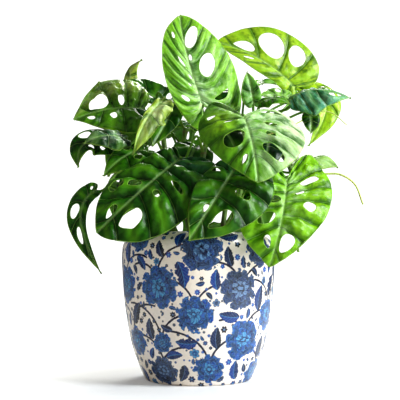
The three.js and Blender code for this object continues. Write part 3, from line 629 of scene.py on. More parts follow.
        stalk=[[3, 0.4], [-30, 36, 195]],
    ),
    # at the back, over the rim
    dict(
        name="leaf_25", base=[-8, 62, 186], bend=[-12, 100, 192], tip=[-18, 112, 126],
        up=[[0, 0.6, 0.8], [0, 1, 0.1]], wide=[38, 36], fold=[8, 8], curl=[25, 25], holes="usual",
        stalk=[[3, 0.25], [-9, 44, 172]],
    ),
    # at the back right, over the rim
    dict(
        name="leaf_26", base=[44, 56, 210], bend=[66, 96, 214], tip=[78, 110, 152],
        up=[[0.2, 0.6, 0.8], [0.3, 1, 0.1]], wide=[36, 38], fold=[8, 8], curl=[25, 25], holes="usual",
        stalk=[[4, 0.4], [36, 44, 196]],
    ),
    # at the upper back, in the middle
    dict(
        name="leaf_27", base=[-4, 52, 268], bend=[-6, 84, 292], tip=[-10, 112, 246],
        up=[[0, 0.3, 1], [0, 1, 0.4]], wide=[34, 34], fold=[8, 8], curl=[25, 25], holes="usual",
        stalk=[[3, 0.9], [-10, 44, 262]],
    ),
    # at the upper back right
    dict(
        name="leaf_28", base=[62, 50, 262], bend=[80, 78, 276], tip=[84, 100, 222],
        up=[[0.2, 0.4, 1], [0.3, 1, 0.3]], wide=[30, 30], fold=[8, 8], curl=[25, 25], holes="usual",
        stalk=[[4, 0.85], [52, 40, 254]],
    ),
    # at the upper back left
    dict(
        name="leaf_29", base=[-44, 46, 262], bend=[-66, 70, 278], tip=[-84, 92, 232],
        up=[[-0.2, 0.4, 1], [-0.4, 0.9, 0.3]], wide=[28, 28], fold=[8, 8], curl=[25, 25], holes="usual",
        stalk=[[3, 0.7], [-30, 40, 254]],
    ),
    # inside the plant, between the stems
    dict(
        name="leaf_30", base=[-2, 14, 236], bend=[-8, -2, 226], tip=[-22, -6, 176],
        up=[[0, -0.8, 0.6], [0, -1, 0.2]], wide=[22, 22], fold=[8, 8], curl=[25, 25],
        stalk=[[3, 0.55], [-8, 28, 226]],
    ),
    # at the back right, low
    dict(
        name="leaf_31", base=[62, 40, 192], bend=[98, 62, 204], tip=[110, 72, 148],
        up=[[0.5, 0.3, 0.8], [0.8, 0.6, 0.2]], wide=[30, 30], fold=[8, 8], curl=[25, 25],
        stalk=[[4, 0.35], [46, 38, 180]],
    ),
    # at the back left, high
    dict(
        name="leaf_32", base=[-58, 22, 238], bend=[-83, 26, 250], tip=[-97, 33, 206],
        up=[[-0.5, 0.3, 0.8], [-0.8, 0.6, 0.2]], wide=[26, 26], fold=[8, 8], curl=[25, 25],
        stalk=[[3, 0.6], [-40, 30, 226]],
    ),
    # at the back, low on the right
    dict(
        name="leaf_33", base=[26, 66, 160], bend=[34, 100, 166], tip=[34, 112, 108],
        up=[[0, 0.6, 0.8], [0, 1, 0.1]], wide=[30, 30], fold=[8, 8], curl=[25, 25],
        stalk=[[4, 0.2], [26, 48, 152]],
    ),
    # inside the plant, behind the broad one
    dict(
        name="leaf_34", base=[20, 8, 250], bend=[32, 0, 256], tip=[44, -12, 208],
        up=[[0, -0.8, 0.6], [0, -1, 0.1]], wide=[16, 16], fold=[8, 8], curl=[20, 20],
        stalk=[[1, 0.9], [12, 0, 240]],
    ),
    # behind the tall one
    dict(
        name="leaf_35", base=[22, 14, 278], bend=[30, 8, 296], tip=[42, 8, 262],
        up=[[0, -0.8, 0.6], [0, -1, 0.1]], wide=[17, 17], fold=[8, 8], curl=[20, 20],
        stalk=[[1, 0.7], [10, 8, 256]],
    ),
    # inside the plant, behind the broad one's tip
    dict(
        name="leaf_36", base=[70, -10, 234], bend=[72, -26, 236], tip=[62, -36, 190],
        up=[[0, -0.8, 0.6], [0, -1, 0.1]], wide=[18, 22], fold=[8, 8], curl=[20, 20],
        stalk=[[2, 0.6], [64, -2, 228]],
    ),
    # at the right side
    dict(
        name="leaf_37", base=[78, 28, 238], bend=[98, 32, 246], tip=[102, 30, 186],
        up=[[0.6, 0, 0.8], [1, 0, 0.1]], wide=[22, 22], fold=[8, 8], curl=[25, 25],
        stalk=[[4, 0.6], [60, 28, 230]],
    ),
    # at the left side
    dict(
        name="leaf_38", base=[-64, 18, 206], bend=[-86, 18, 212], tip=[-88, 18, 150],
        up=[[-0.6, 0, 0.8], [-1, 0, 0.1]], wide=[24, 24], fold=[8, 8], curl=[25, 25],
        stalk=[[0, 0.6], [-48, 12, 200]],
    ),
    # low at the right side
    dict(
        name="leaf_39", base=[76, 2, 176], bend=[98, 4, 182], tip=[102, 8, 124],
        up=[[0.6, 0, 0.8], [1, 0, 0.1]], wide=[26, 26], fold=[8, 8], curl=[25, 25],
        stalk=[[2, 0.3], [58, 0, 168]],
    ),
]
USUAL_BAYS = [0.28, 0.5, 0.72]
PLAIN_BAYS = [0.35, 0.65]
USUAL_HOLES = [[1, 0.3, 0.78, 0.5, 0.42], [2, 0.25, 0.75, 0.5, 0.5], [3, 0.25, 0.65, 0.35, 0.35]]
PLAIN_LEAF = dict(
    lobe=[1, 1], peak=[0, 0], full=[1, 1], fold=[0, 0], curl=[0, 0],
    sweep=2.2, bow=[0.1, 0.1], ripple=[0.8, 3],
)


def whole_row(row):
    """A leaf's row with what it leaves out filled in, and its length from base over bend to tip in mm."""
    bays = USUAL_BAYS if row.get("holes") else PLAIN_BAYS
    leaf = {**PLAIN_LEAF, "bays": [bays, bays], "holes": [[], []], **row}
    if leaf["holes"] == "usual":
        leaf["holes"] = [USUAL_HOLES, USUAL_HOLES]
    leaf["length"] = sum(math.dist(leaf[a], leaf[b]) for a, b in (("base", "bend"), ("bend", "tip")))
    return leaf


leaves = [whole_row(row) for row in LEAVES]
print(len(leaves), "leaves,", sum(len(half) for leaf in leaves for half in leaf["holes"]), "holes")

# %% [markdown]
# ## A blade as a function of two parameters
#
# A blade is a sheet with two coordinates. c runs across it, from -1 on the left margin through 0 on the
# midrib to 1 on the right margin, and v runs from the base (0) to the tip (1) along the margin. The lines
# of equal v are the ways that the side veins take, so a vein, a bay between two veins and a hole are all
# simple shapes in c and v, however the leaf bends in space.

# %% Where a blade's points lie
MARGIN = [[0, 0], [-0.07, 0.16], [-0.1, 0.42], [-0.02, 0.74], [0.14, 0.96],
          [0.33, 1], [0.55, 0.86], [0.76, 0.55], [0.91, 0.2], [1, 0]]
RIPPLE_SHIFT = 1.3
FULL_BOW = 0.45
LEAST_TURN = 1e-3
HALVES = ("wide", "lobe", "peak", "full", "fold", "curl", "bow")


def blade_place(leaf, c, v):
    """The middle surface in mm, the part of the midrib that each point lies beside, and of the width.

    A margin point is a spline's [part of the midrib, part of the half width], stretched in the lobe and
    shifted toward the tip. Inner points lie between it and the midrib at v to the power of the sweep. In
    space the midrib is a quadratic arc from base to tip, steered by bend. A half goes out from it square
    to the blade's facing, along a circle that starts at the fold and turns by the curl, and its margin
    ripples.
    """
    half = (c > 0).astype(int)
    u = np.abs(c)
    pick = {key: np.array(leaf[key], float)[half] for key in HALVES}
    edge = flat_spline(MARGIN, v)
    bulge = np.sin(np.pi * v)
    along = edge[..., 0] * np.where(edge[..., 0] < 0, pick["lobe"], 1) + pick["peak"] * bulge**2
    bow = pick["bow"] * bulge * np.minimum(1, v / FULL_BOW) ** 2
    a = (1 - u) * v ** leaf["sweep"] + u * along - bow * u * (1 - u)
    b = u * np.maximum(edge[..., 1], 0) ** pick["full"]

    base, bend, tip = (np.array(leaf[key], float) for key in ("base", "bend", "tip"))
    t = np.clip(a, 0, 1)[..., None]
    middle = base * (1 - t) ** 2 + bend * 2 * t * (1 - t) + tip * t**2
    middle = middle + (bend - base) * 2 * np.minimum(a, 0)[..., None]
    forward = unit((bend - base) * (1 - t) + (tip - bend) * t)
    up = (1 - t) * np.array(leaf["up"][0]) + t * np.array(leaf["up"][1])
    up = unit(up - (up * forward).sum(-1, keepdims=True) * forward)
    side = np.cross(up, forward) * np.where(half == 0, 1, -1)[..., None]
    rise = -np.radians(pick["fold"])
    turn = np.maximum(np.radians(pick["curl"]), LEAST_TURN)
    out = pick["wide"] / turn * (np.sin(rise + turn * b) - np.sin(rise))
    down = pick["wide"] / turn * (np.cos(rise) - np.cos(rise + turn * b))
    height, count = leaf["ripple"]
    wave = height * b**2 * np.sin(TAU * count * v + RIPPLE_SHIFT * half)
    return middle + side * out[..., None] + up * (wave - down)[..., None], a, b


def vein_count(leaf, c, v):
    """How many side veins lie between a point and the base, with the part of the next bay: 2.5 is mid-bay."""
    counts = [np.interp(v, [0, *stations, 1], np.arange(len(stations) + 2)) for stations in leaf["bays"]]
    return np.where(c > 0, counts[1], counts[0])


middle, _, _ = blade_place(leaves[0], np.array([0.0]), np.array([0.5]))
print("a point on the top leaf's midrib, in mm:", middle[0].round(1))

# %% [markdown]
# ## Holes
#
# The holes of this plant are smooth ovals between two side veins. In c and v each is an ellipse. The grid's
# quads inside it are left out. The corners that the remaining quads have inside it are moved straight out
# onto its edge, which gives a smooth rim without cutting the mesh.

# %% Cut the holes out of a blade's grid
NO_RIM_MM = 99.0
HOLE_MIDDLE = 1e-3


def hole_ellipses(leaf):
    """Each hole as its middle and radii in c and v."""
    for half, sign in ((0, -1), (1, 1)):
        stations = [0, *leaf["bays"][half], 1]
        for bay, near, far, middle, height in leaf["holes"][half]:
            low, long = stations[bay], stations[bay + 1] - stations[bay]
            yield sign * (near + far) / 2, low + middle * long, (far - near) / 2, height * long / 2


def cut_holes(leaf, c, v, quads):
    """Takes the holes' quads out and moves the corners round them onto the rims.

    It also says how near a rim each point is: what its ellipse reach has over 1, times the hole's mean
    radius in mm.
    """
    nearness = np.full(len(c), NO_RIM_MM)
    for hole_c, hole_v, radius_c, radius_v in hole_ellipses(leaf):
        off_c, off_v = (c - hole_c) / radius_c, (v - hole_v) / radius_v
        reach = np.hypot(off_c, off_v)
        inside = reach < 1
        quads = quads[~inside[quads].all(1)]
        scale = np.where(inside, 1 / np.maximum(reach, HOLE_MIDDLE), 1)
        c = np.where(inside, hole_c + off_c * radius_c * scale, c)
        v = np.where(inside, hole_v + off_v * radius_v * scale, v)
        mean_mm = (radius_c * max(leaf["wide"]) + radius_v * leaf["length"]) / 2
        nearness = np.minimum(nearness, np.maximum(reach - 1, 0) * mean_mm)
    return c, v, quads, nearness


print("the top leaf's holes:", len(list(hole_ellipses(leaves[0]))))

# %% [markdown]
# ## Relief
#
# Between its side veins the blade swells upward, like a quilt between its seams, and the veins lie in the
# valleys. The midrib is a narrow trough on top and a rounded ridge below. These forms catch the light in
# stripes, and they are what makes the leaf look alive, so they are real shape here, not only shading.

# %% The swelling between the veins
QUILT = 0.3
MOST_QUILT_MM = 4.0
HALF_BULGE = 0.6
BULGE_ROUND = 0.75
SMALL_BULGE, SMALL_FROM = 0.35, (0.25, 0.6)
MOST_BAYS, BAY_CHANCE = 10, (0.6, 1.25)
BESIDE_RIB_MM, MARGIN_CALM = (0.5, 10), 0.9
END_CALM = 0.15
SWAY_MM, SWAY_FROM_MM = 1.6, (3, 25)
# Each wave of the sway as its share, and how fast it turns along c and along v
SWAY_WAVES = [(1, 4, 5), (0.6, -5, 9), (0.4, 8, 15)]
PUCKER_MM = 0.5
# Each kind of pucker as its length in mm, how far it bends to and fro, and how fast it does along v
FINE_PUCKER, COARSE_PUCKER = (1.9, 3, 9), (3.4, 5, 4)
COARSE_SHARE, COARSE_BAYS = 0.7, 1.5
RIB_TROUGH_MM, RIB_RIDGE_MM, RIB_WIDTH_MM = 0.9, 1.1, 1.5
SHEET_MM = 0.5
# Leaves that swell, sway and crumple more or less than the others: factors for the three
RELIEF = {
    "leaf_01": (1.3, 0.4, 0.8), "leaf_02": (1.2, 0.3, 0.8), "leaf_03": (1.6, 0.8, 1.8),
    "leaf_04": (1.6, 1.2, 1.8), "leaf_05": (1.3, 1.2, 1.6), "leaf_06": (1.4, 1.2, 1.4),
    "leaf_07": (0.6, 0.5, 0.5), "leaf_11": (1.5, 1.3, 2.0), "leaf_14": (1.4, 1.2, 1.4),
    "leaf_15": (1.3, 1.2, 1.4), "leaf_25": (1, 0.4, 1), "leaf_27": (1, 0.4, 1), "leaf_33": (1, 0.4, 1),
}


def smooth_step(x, low, high):
    """0 below low, 1 above high, and a smooth step between."""
    t = np.clip((x - low) / (high - low), 0, 1)
    return t * t * (3 - 2 * t)


def rib_profile(rib_mm):
    """1 on the midrib, falling like a bell with the distance from it."""
    return np.exp(-((rib_mm / RIB_WIDTH_MM) ** 2))


def bent_wave(rib_mm, v, kind, phase):
    """A wave from the midrib outward that bends to and fro along v."""
    length_mm, bend, pace = kind
    return np.sin(rib_mm / length_mm + bend * np.sin(pace * v + phase))


def puckers(veins, v, rib_mm, phases):
    """Fine bent waves that change sides from bay to bay, and a smaller share of coarser ones."""
    fine = np.sin(TAU * veins + phases[1]) * bent_wave(rib_mm, v, FINE_PUCKER, phases[2])
    coarse = bent_wave(rib_mm, v, COARSE_PUCKER, phases[0]) * np.sin(COARSE_BAYS * TAU * veins)
    return fine + COARSE_SHARE * coarse


def swelling(leaf, c, v, veins, bay_mm, rib_mm):
    """How far the top stands off the middle surface.

    It is a sum: a bulge in each bay that starts beside the midrib and dies out at the margin, smaller ones
    on both sides of the bay's own middle line, puckers across them and a slow sway of the blade, less a
    trough along the midrib. The bulges reach about as far above the measured surface as below it. All but
    the trough die out at the base and at the tip.
    """
    chance = np.random.default_rng(int(leaf["name"][-2:]))
    bay = np.minimum(veins.astype(int) + MOST_BAYS * (c > 0), 2 * MOST_BAYS - 1)
    strength = chance.uniform(*BAY_CHANCE, 2 * MOST_BAYS)[bay]
    phases = chance.uniform(0, TAU, len(SWAY_WAVES))
    depth = np.minimum(QUILT * bay_mm, MOST_QUILT_MM) * strength
    across = smooth_step(np.abs(rib_mm), *BESIDE_RIB_MM) * (1 - MARGIN_CALM * np.abs(c) ** 4)
    bulge = np.abs(np.sin(np.pi * veins)) ** BULGE_ROUND
    small = np.abs(np.sin(2 * np.pi * veins)) * smooth_step(np.abs(c), *SMALL_FROM)
    sway = sum(
        share * np.sin(c_turn * c + v_turn * v + phase)
        for (share, c_turn, v_turn), phase in zip(SWAY_WAVES, phases)
    )
    quilt_times, sway_times, pucker_times = RELIEF.get(leaf["name"], (1, 1, 1))
    calm = smooth_step(v, 0, END_CALM) * smooth_step(1 - v, 0, END_CALM)
    return (
        depth * across * (bulge + SMALL_BULGE * small - HALF_BULGE) * quilt_times * calm
        + PUCKER_MM * puckers(veins, v, rib_mm, phases) * across * pucker_times * calm
        + SWAY_MM * sway * smooth_step(np.abs(rib_mm), *SWAY_FROM_MM) * sway_times * calm
        - RIB_TROUGH_MM * rib_profile(rib_mm)
    )


print("from vein to bulge a plain leaf swells by up to about", MOST_QUILT_MM * BAY_CHANCE[1], "mm")

# %% [markdown]
# ## From the function to a closed sheet
#
# The grid gives the middle surface. The top lies a quarter of a millimetre above it and the underside as
# far below, and a narrow wall joins them along the margin and round each hole. The result is a closed solid
# as thin as a real leaf.

# %% The blade's grid
GRID_MM = 1.2
LONG_MARGIN = 1.25
CROWDING = 1.2


def blade_grid(leaf):
    """The grid's c and v at each point, with its quads; the first and the last row are single points.

    There are as many rows as the margin is long, and the columns crowd a little toward the midrib.
    """
    columns = 2 * int(np.ceil(max(leaf["wide"]) / GRID_MM)) + 1
    rows = int(np.ceil(LONG_MARGIN * leaf["length"] / GRID_MM)) + 1
    across = np.linspace(-1, 1, columns)
    across = np.sign(across) * np.abs(across) ** CROWDING
    c, v = (field.ravel() for field in np.meshgrid(across, np.linspace(0, 1, rows)))
    quads = grid_quads(rows, columns)
    quads[quads < columns] = 0
    last = (rows - 1) * columns
    quads[quads >= last] = last
    c[[0, last]] = 0
    return c, v, quads


print("the top leaf's grid has", len(blade_grid(leaves[0])[0]), "points,", GRID_MM, "mm apart")

# %% [markdown]
# ## Which way a blade faces
#
# The relief lifts each point square to the blade. That direction is square to two short steps on the
# surface, one along v and one along c. The same steps tell how wide a bay is there, in millimetres.

# %% Directions and distances on a blade
STEP = 2e-3
# The least that a division may meet
NO_LENGTH, LEAST_FACING = 1e-9, 1e-12
LEAST_AREA, LEAST_BAYS, LEAST_C = 1e-4, 1e-4, 1e-3


def corner_normals(points, triangles):
    """The direction in which the surface faces at each point, from the triangles that meet there."""
    a, b, c = (points[triangles[:, i]] for i in range(3))
    facing = np.cross(b - a, c - a)
    total = np.stack([
        np.bincount(triangles.ravel(), np.repeat(facing[:, axis], 3), len(points)) for axis in range(3)
    ], -1)
    return total / np.maximum(np.linalg.norm(total, axis=1, keepdims=True), LEAST_FACING)


def blade_facing(leaf, c, v, middle, triangles):
    """The direction in which the top faces at each point, and how long its bay is there in mm.

    It is square to a step along v and to one outward in c. Where the two lie in one line, at the base and
    at the tip, the triangles that meet at the point say it instead. A bay's length is the step along v
    over the number of bays that it passes.
    """
    earlier, later = np.maximum(v - STEP, 0), np.minimum(v + STEP, 1)
    step_v = blade_place(leaf, c, later)[0] - blade_place(leaf, c, earlier)[0]
    passed = vein_count(leaf, c, later) - vein_count(leaf, c, earlier)
    out_c = np.where(c > 0, np.minimum(c + STEP, 1), np.maximum(c - STEP, -1))
    step_c = blade_place(leaf, out_c, v)[0] - blade_place(leaf, c - (out_c - c), v)[0]
    square = np.cross(unit(step_c + NO_LENGTH), step_v) * np.where(c > 0, 1, -1)[:, None]
    area = np.linalg.norm(square, axis=1, keepdims=True)
    facing = np.where(
        area > LEAST_AREA, square / np.maximum(area, NO_LENGTH), corner_normals(middle, triangles)
    )
    return facing, area[:, 0] / np.maximum(passed, LEAST_BAYS)


def blade_distances(leaf, c, a, b, hole_mm):
    """How far each point lies from the midrib, with its half's sign, and from the nearest edge, in mm."""
    wide = np.where(c > 0, leaf["wide"][1], leaf["wide"][0])
    behind = leaf["length"] * (np.minimum(a, 0) + np.maximum(a - 1, 0))
    rib_mm = np.where(c > 0, 1, -1) * np.hypot(wide * b, behind)
    margin_mm = (1 - np.abs(c)) * wide * b / np.maximum(np.abs(c), LEAST_C)
    return rib_mm, np.minimum(margin_mm, hole_mm)


_, a, b = blade_place(leaves[0], np.array([0.5]), np.array([0.5]))
rib_mm, _ = blade_distances(leaves[0], np.array([0.5]), a, b, NO_RIM_MM)
print("half way out on the top leaf, the midrib is", round(float(rib_mm[0]), 1), "mm away")

# %% [markdown]
# ## Colours of the leaves
#
# No two leaves have the same green. Old ones are dark and bluish, young ones yellow. Each has its own tone
# here, then the soft patches where it pales or darkens, each as a colour, a place in c and v, a reach in c
# and v, and a strength, and last the places of painted sheen, each as a strength, a place and a reach.
# There the finish lays a pale, silvery reflection into the colour. Some patches are painted sheen as well:
# the pale whitish ones of leaf_01 and leaf_02 and the teal ones, and so is leaf_17's bluish tone. A leaf
# that has no row takes one of four plain dark greens.

# %% Tones
# The pale whitish patches of leaf_01 and leaf_02, the teal patches and leaf_17's bluish tone are painted
# sheen
TONES = {
    "leaf_01": ("#84bc2c", [("#c4dcae", 0.03, 0.45, 0.17, 0.5, 0.9), ("#58981a", -0.6, 0.75, 0.4, 0.3, 0.5),
                            ("#3f8414", 0.3, 0.8, 0.3, 0.2, 0.6)],
                [(0.35, 0.1, 0.45, 0.9, 0.5)]),
    "leaf_02": ("#5f9c20", [("#ccdfae", -0.85, 0.45, 0.4, 0.4, 0.95), ("#b0d298", 0.0, 0.6, 0.12, 0.5, 0.7),
                            ("#98c41c", 0.5, 0.5, 0.3, 0.25, 0.8), ("#b8d4a0", 0.3, 0.15, 0.5, 0.12, 0.7)],
                [(0.7, -0.6, 0.45, 0.5, 0.5), (0.35, 0.2, 0.2, 0.5, 0.25)]),
    "leaf_03": ("#265a06", [("#468a10", 0.5, 0.6, 0.4, 0.3, 0.7),
                            ("#2f6c50", 0.4, 0.25, 0.5, 0.15, 0.8)], []),
    "leaf_04": ("#1c5006", [("#2f6848", -0.4, 0.25, 0.6, 0.15, 0.8), ("#4f9010", 0.6, 0.6, 0.35, 0.2, 0.8),
                            ("#3f7c10", -0.6, 0.7, 0.3, 0.2, 0.8)], []),
    "leaf_05": ("#4a7e10", [("#2c6048", -0.4, 0.25, 0.5, 0.2, 0.9), ("#14340a", 0.1, 0.3, 0.3, 0.1, 0.9),
                            ("#9cb42c", 0.7, 0.6, 0.3, 0.4, 0.8)], [(0.3, 0.8, 0.6, 0.3, 0.4)]),
    "leaf_06": ("#74ac18", [("#7cac0c", -0.6, 0.5, 0.35, 0.5, 0.9), ("#3c7c0c", 0.5, 0.12, 0.5, 0.1, 0.8)],
                [(0.25, -0.1, 0.45, 0.2, 0.5)]),
    "leaf_07": ("#8fae24", [], []),
    "leaf_10": ("#a8b648", [("#8a7038", 0.0, 1.0, 1.0, 0.2, 0.9)], [(0.2, 0, 0.5, 1, 1)]),
    "leaf_11": ("#98ac30", [("#d0d890", -0.3, 0.6, 0.5, 0.3, 0.7)], [(0.5, 0, 0.5, 0.8, 0.6)]),
    "leaf_13": ("#204e0a", [], []),
    "leaf_14": ("#1e4c1c", [("#3c7464", 0.0, 0.4, 0.5, 0.3, 0.6)], [(0.2, 0, 0.5, 1, 1)]),
    "leaf_16": ("#9cbc24", [], []),
    "leaf_17": ("#44886c", [("#2c6c2c", 0.0, 0.8, 0.6, 0.2, 0.8)], [(0.2, 0, 0.5, 1, 1)]),
    "leaf_18": ("#123c0c", [], []),
    "leaf_19": ("#90b060", [], [(0.3, 0, 0.5, 1, 1)]),
    "leaf_20": ("#4f8a24", [], [(0.2, 0, 0.5, 1, 1)]),
    "leaf_21": ("#5f9a30", [], [(0.2, 0, 0.5, 1, 1)]),
    "leaf_22": ("#7fb048", [], [(0.2, 0, 0.5, 1, 1)]),
    "leaf_34": ("#12380a", [], []),
    "leaf_35": ("#12380a", [], []),
    "leaf_36": ("#0f3a22", [], []),
}
PLAIN_TONES = ["#24580c", "#2c620c", "#1c4c0e", "#36700e"]


def bell(c, v, at_c, at_v, reach_c, reach_v):
    """1 at a place on the blade, falling to a third at its reach in c or in v."""
    return np.exp(-(((c - at_c) / reach_c) ** 2) - ((v - at_v) / reach_v) ** 2)


def leaf_tones(leaf, c, v):
    """The leaf's green at each point, and how much painted sheen lies on it there.

    The green is the leaf's own tone with each patch laid over it, and the painted sheen is the sum of its
    places.
    """
    number = int(leaf["name"][-2:])
    tone, patches, silvery = TONES.get(leaf["name"], (PLAIN_TONES[number % len(PLAIN_TONES)], [], []))
    colour = np.tile(paint(tone), (len(c), 1))
    for code, *place, strength in patches:
        colour += (paint(code) - colour) * strength * bell(c, v, *place)[:, None]
    # Painted sheen: how strongly a silvery reflection is painted over the green at each point
    silver = np.zeros(len(c))
    for strength, *place in silvery:
        silver += strength * bell(c, v, *place)
    return colour, silver


print("tones for", len(TONES), "leaves, the others share", len(PLAIN_TONES))

# %% [markdown]
# ## One blade
#
# Now the parts come together: the grid, its holes, the relief, and the walls that close the sheet. Every
# point keeps the values that the leaf's finish will read.

# %% Build one blade
TIP_RIDGE = 0.75


def border_edges(triangles, count):
    """The edges that only one triangle has, as pairs of corners in its order."""
    edges = np.concatenate([triangles[:, [0, 1]], triangles[:, [1, 2]], triangles[:, [2, 0]]])
    forward = edges[:, 0] * count + edges[:, 1]
    backward = edges[:, 1] * count + edges[:, 0]
    return edges[~np.isin(forward, backward)]


def blade_values(leaf, c, v, fields):
    """The values that the leaf material reads, for the points of the top and then of the underside."""
    tone, silver = leaf_tones(leaf, c, v)
    values = {key: np.tile(field, 2) for key, field in fields.items()}
    values["under"] = np.repeat([0.0, 1.0], len(c))
    values["tone"] = np.tile(tone, (2, 1))
    values["silver"] = np.tile(silver, 2)
    return values


def blade(leaf):
    """One blade as a closed sheet: top and underside half a sheet off the lifted middle surface."""
    c, v, quads, hole_mm = cut_holes(leaf, *blade_grid(leaf))
    used, quads = np.unique(quads, return_inverse=True)
    triangles = split_quads(quads.reshape(-1, 4))
    c, v, hole_mm = c[used], v[used], hole_mm[used]
    middle, a, b = blade_place(leaf, c, v)
    veins = vein_count(leaf, c, v)
    facing, bay_mm = blade_facing(leaf, c, v, middle, triangles)
    rib_mm, rim_mm = blade_distances(leaf, c, a, b, hole_mm)

    lift = swelling(leaf, c, v, veins, bay_mm, rib_mm)
    ridge = RIB_RIDGE_MM * (1 - TIP_RIDGE * np.clip(a, 0, 1)) * rib_profile(rib_mm)
    top = middle + facing * (lift + SHEET_MM / 2)[:, None]
    under = middle + facing * (lift - SHEET_MM / 2 - ridge)[:, None]
    count = len(c)
    first, second = border_edges(triangles, count).T
    walls = split_quads(np.column_stack([second, first, first + count, second + count]))
    fields = {"veins": veins, "bay_mm": bay_mm, "rib_mm": rib_mm, "rim_mm": rim_mm}
    return {
        "points": np.vstack([top, under]),
        "triangles": np.concatenate([triangles, triangles[:, ::-1] + count, walls]),
        "walls": len(walls),
        "values": blade_values(leaf, c, v, fields),
    }


print("a blade is", SHEET_MM, "mm thick, and its midrib stands out", RIB_RIDGE_MM, "mm below")

# %% [markdown]
# ## The leaf's finish
#
# A leaf has a waxy, half-glossy top and a duller, paler underside, and some light passes through it. One
# material serves them all. It lays pale veins, a pale midrib and a fine light rim over the leaf's own tone,
# mottles it softly, and lets light spread a millimetre or two under the skin. It also paints light and shade
# into the colour: painted shade beside each vein and in dark streaks along the veins, painted light in the
# middle of each bay, and pale streaks of painted sheen over the places that the leaf's tones give for it.

# %% Leaf material
# Where a layer of colour starts, where it is full, and how strongly it covers what lies below
LEAF_LAYERS = {
    "mottle": (0.42, 0.7, 0.55),
    # The dark streak and the dark beside a vein are painted shade, the middle of a bay painted light, and the
    # two silver layers painted sheen
    "painted shade streak": (0.52, 0.38, 0.7),
    "painted shade beside a vein": (0.3, 0.0, 0.8),
    "painted light mid-bay": (0.45, 1.0, 0.7),
    "broad silver": (0.55, 0.72, 1.0),
    "fine silver": (0.56, 0.74, 0.7),
    "vein": (0.45, 0.1, 0.35),
    "midrib": (2.2, 0.4, 0.32),
    "rim": (0.6, 0.15, 0.35),
}
UNDER_PALE, UNDER_ROUGH = 0.4, 0.25
ROUGHNESS, GRAIN_ROUGH = 0.3, 0.16
# How much the grain breaks up the painted sheen
GRAIN_IN_SHEEN = 0.2
MOTTLE_MM, GRAIN_MM = 5, 0.8
# Streaks in a bay, and their length in mm
BROAD_STREAKS, FINE_STREAKS = (2.2, 16), (7.0, 7)
# What stands out in the bump, and how much: the broad streaks count 1
BUMP_MM, BUMP_STRENGTH = 0.8, 0.8
VEIN_BUMP, GRAIN_BUMP, MOTTLE_BUMP, FINE_BUMP = 0.5, 0.2, 0.7, 0.3


def cover(wire, name):
    """How much of one of the leaf's layers lies on a point, by the wire that it follows."""
    start, full, strength = LEAF_LAYERS[name]
    return wire.over(start, full) * strength


def streaks(tree, across, long_mm):
    """Random streaks along the side veins: across sets how many lie in a bay, long_mm their length."""
    place = tree.nodes.new("ShaderNodeCombineXYZ")
    plug(tree, place.inputs[0], reading(tree, "veins") * across)
    plug(tree, place.inputs[1], reading(tree, "rib_mm") / long_mm)
    node = tree.nodes.new("ShaderNodeTexNoise")
    node.inputs["Scale"].default_value = 1.0
    node.inputs["Detail"].default_value = 4.0
    tree.links.new(place.outputs[0], node.inputs["Vector"])
    return Wire(tree, node.outputs["Fac"])


def leaf_finish():
    """The material of every blade and its stalk."""
    material, tree, shader = new_material(
        "leaf_green", Subsurface_Weight=0.15, Subsurface_Scale=0.002, Subsurface_Radius=(0.5, 1.0, 0.1),
        Specular_IOR_Level=0.22,
    )
    tone = reading(tree, "tone", colour=True)
    # The painted sheen that leaf_tones laid out
    silver = reading(tree, "silver")
    under = reading(tree, "under")
    to_vein = reading(tree, "veins").math("PINGPONG", 0.5)
    vein_mm = to_vein * reading(tree, "bay_mm")
    in_bay = to_vein * 2
    mottle = noise(tree, MOTTLE_MM, detail=4)
    grain = noise(tree, GRAIN_MM, detail=3)
    broad = streaks(tree, *BROAD_STREAKS)
    fine = streaks(tree, *FINE_STREAKS)
    # A darker copy of the tone, for the mottle and for the painted shade
    dark = blend(tree, 1.0, tone, paint("#4d7a4a"), way="MULTIPLY")
    # Painted light: a lighter, yellower copy of the tone for the middle of each bay
    light = blend(tree, 0.35, tone, paint("#7cb820"))
    # Grain that breaks up the painted sheen
    sheen_grain = grain * GRAIN_IN_SHEEN
    colour = tone
    for amount, above in (
        (cover(mottle, "mottle"), dark),
        # Painted shade: dark streaks along the side veins, beside the streaks of painted sheen
        (cover(broad, "painted shade streak"), dark),
        # Painted shade in the creases beside each vein, and painted light on the swell in the middle of the
        # bay
        (cover(in_bay, "painted shade beside a vein"), dark),
        (cover(in_bay, "painted light mid-bay"), light),
        # Painted sheen: pale silvery streaks that stand in for the reflection on the gloss
        (cover(broad + sheen_grain, "broad silver") * silver, paint("#cfe4b4")),
        (cover(fine + sheen_grain, "fine silver") * silver, paint("#d4e6c0")),
        (cover(vein_mm, "vein"), paint("#8fb85a")),
        (cover(reading(tree, "rib_mm").unsigned(), "midrib"), paint("#a4c87a")),
        (cover(reading(tree, "rim_mm"), "rim"), paint("#a8c860")),
        (under * UNDER_PALE, paint("#5f8a28")),
    ):
        colour = blend(tree, amount, colour, above)
    plug(tree, shader.inputs["Base Color"], colour)
    plug(tree, shader.inputs["Roughness"], ROUGHNESS + under * UNDER_ROUGH + grain * GRAIN_ROUGH)
    relief = vein_mm.over(0.1, 1.0) * VEIN_BUMP + grain * GRAIN_BUMP + mottle * MOTTLE_BUMP + broad
    relief = relief + fine * FINE_BUMP
    plug(tree, shader.inputs["Normal"], bump(tree, relief, BUMP_MM, BUMP_STRENGTH))
    return material


leaf_green = leaf_finish()
print("leaf material has", len(leaf_green.node_tree.nodes), "nodes")

# %% [markdown]
# ## Stalks
#
# A stalk leaves its stem in a sheath, thins to an even round rod and thickens again where it meets the blade,
# on whose underside it runs on as the midrib. It is a tube along the measured course, joined to its blade in
# one mesh, since leaf and stalk grow as one piece.

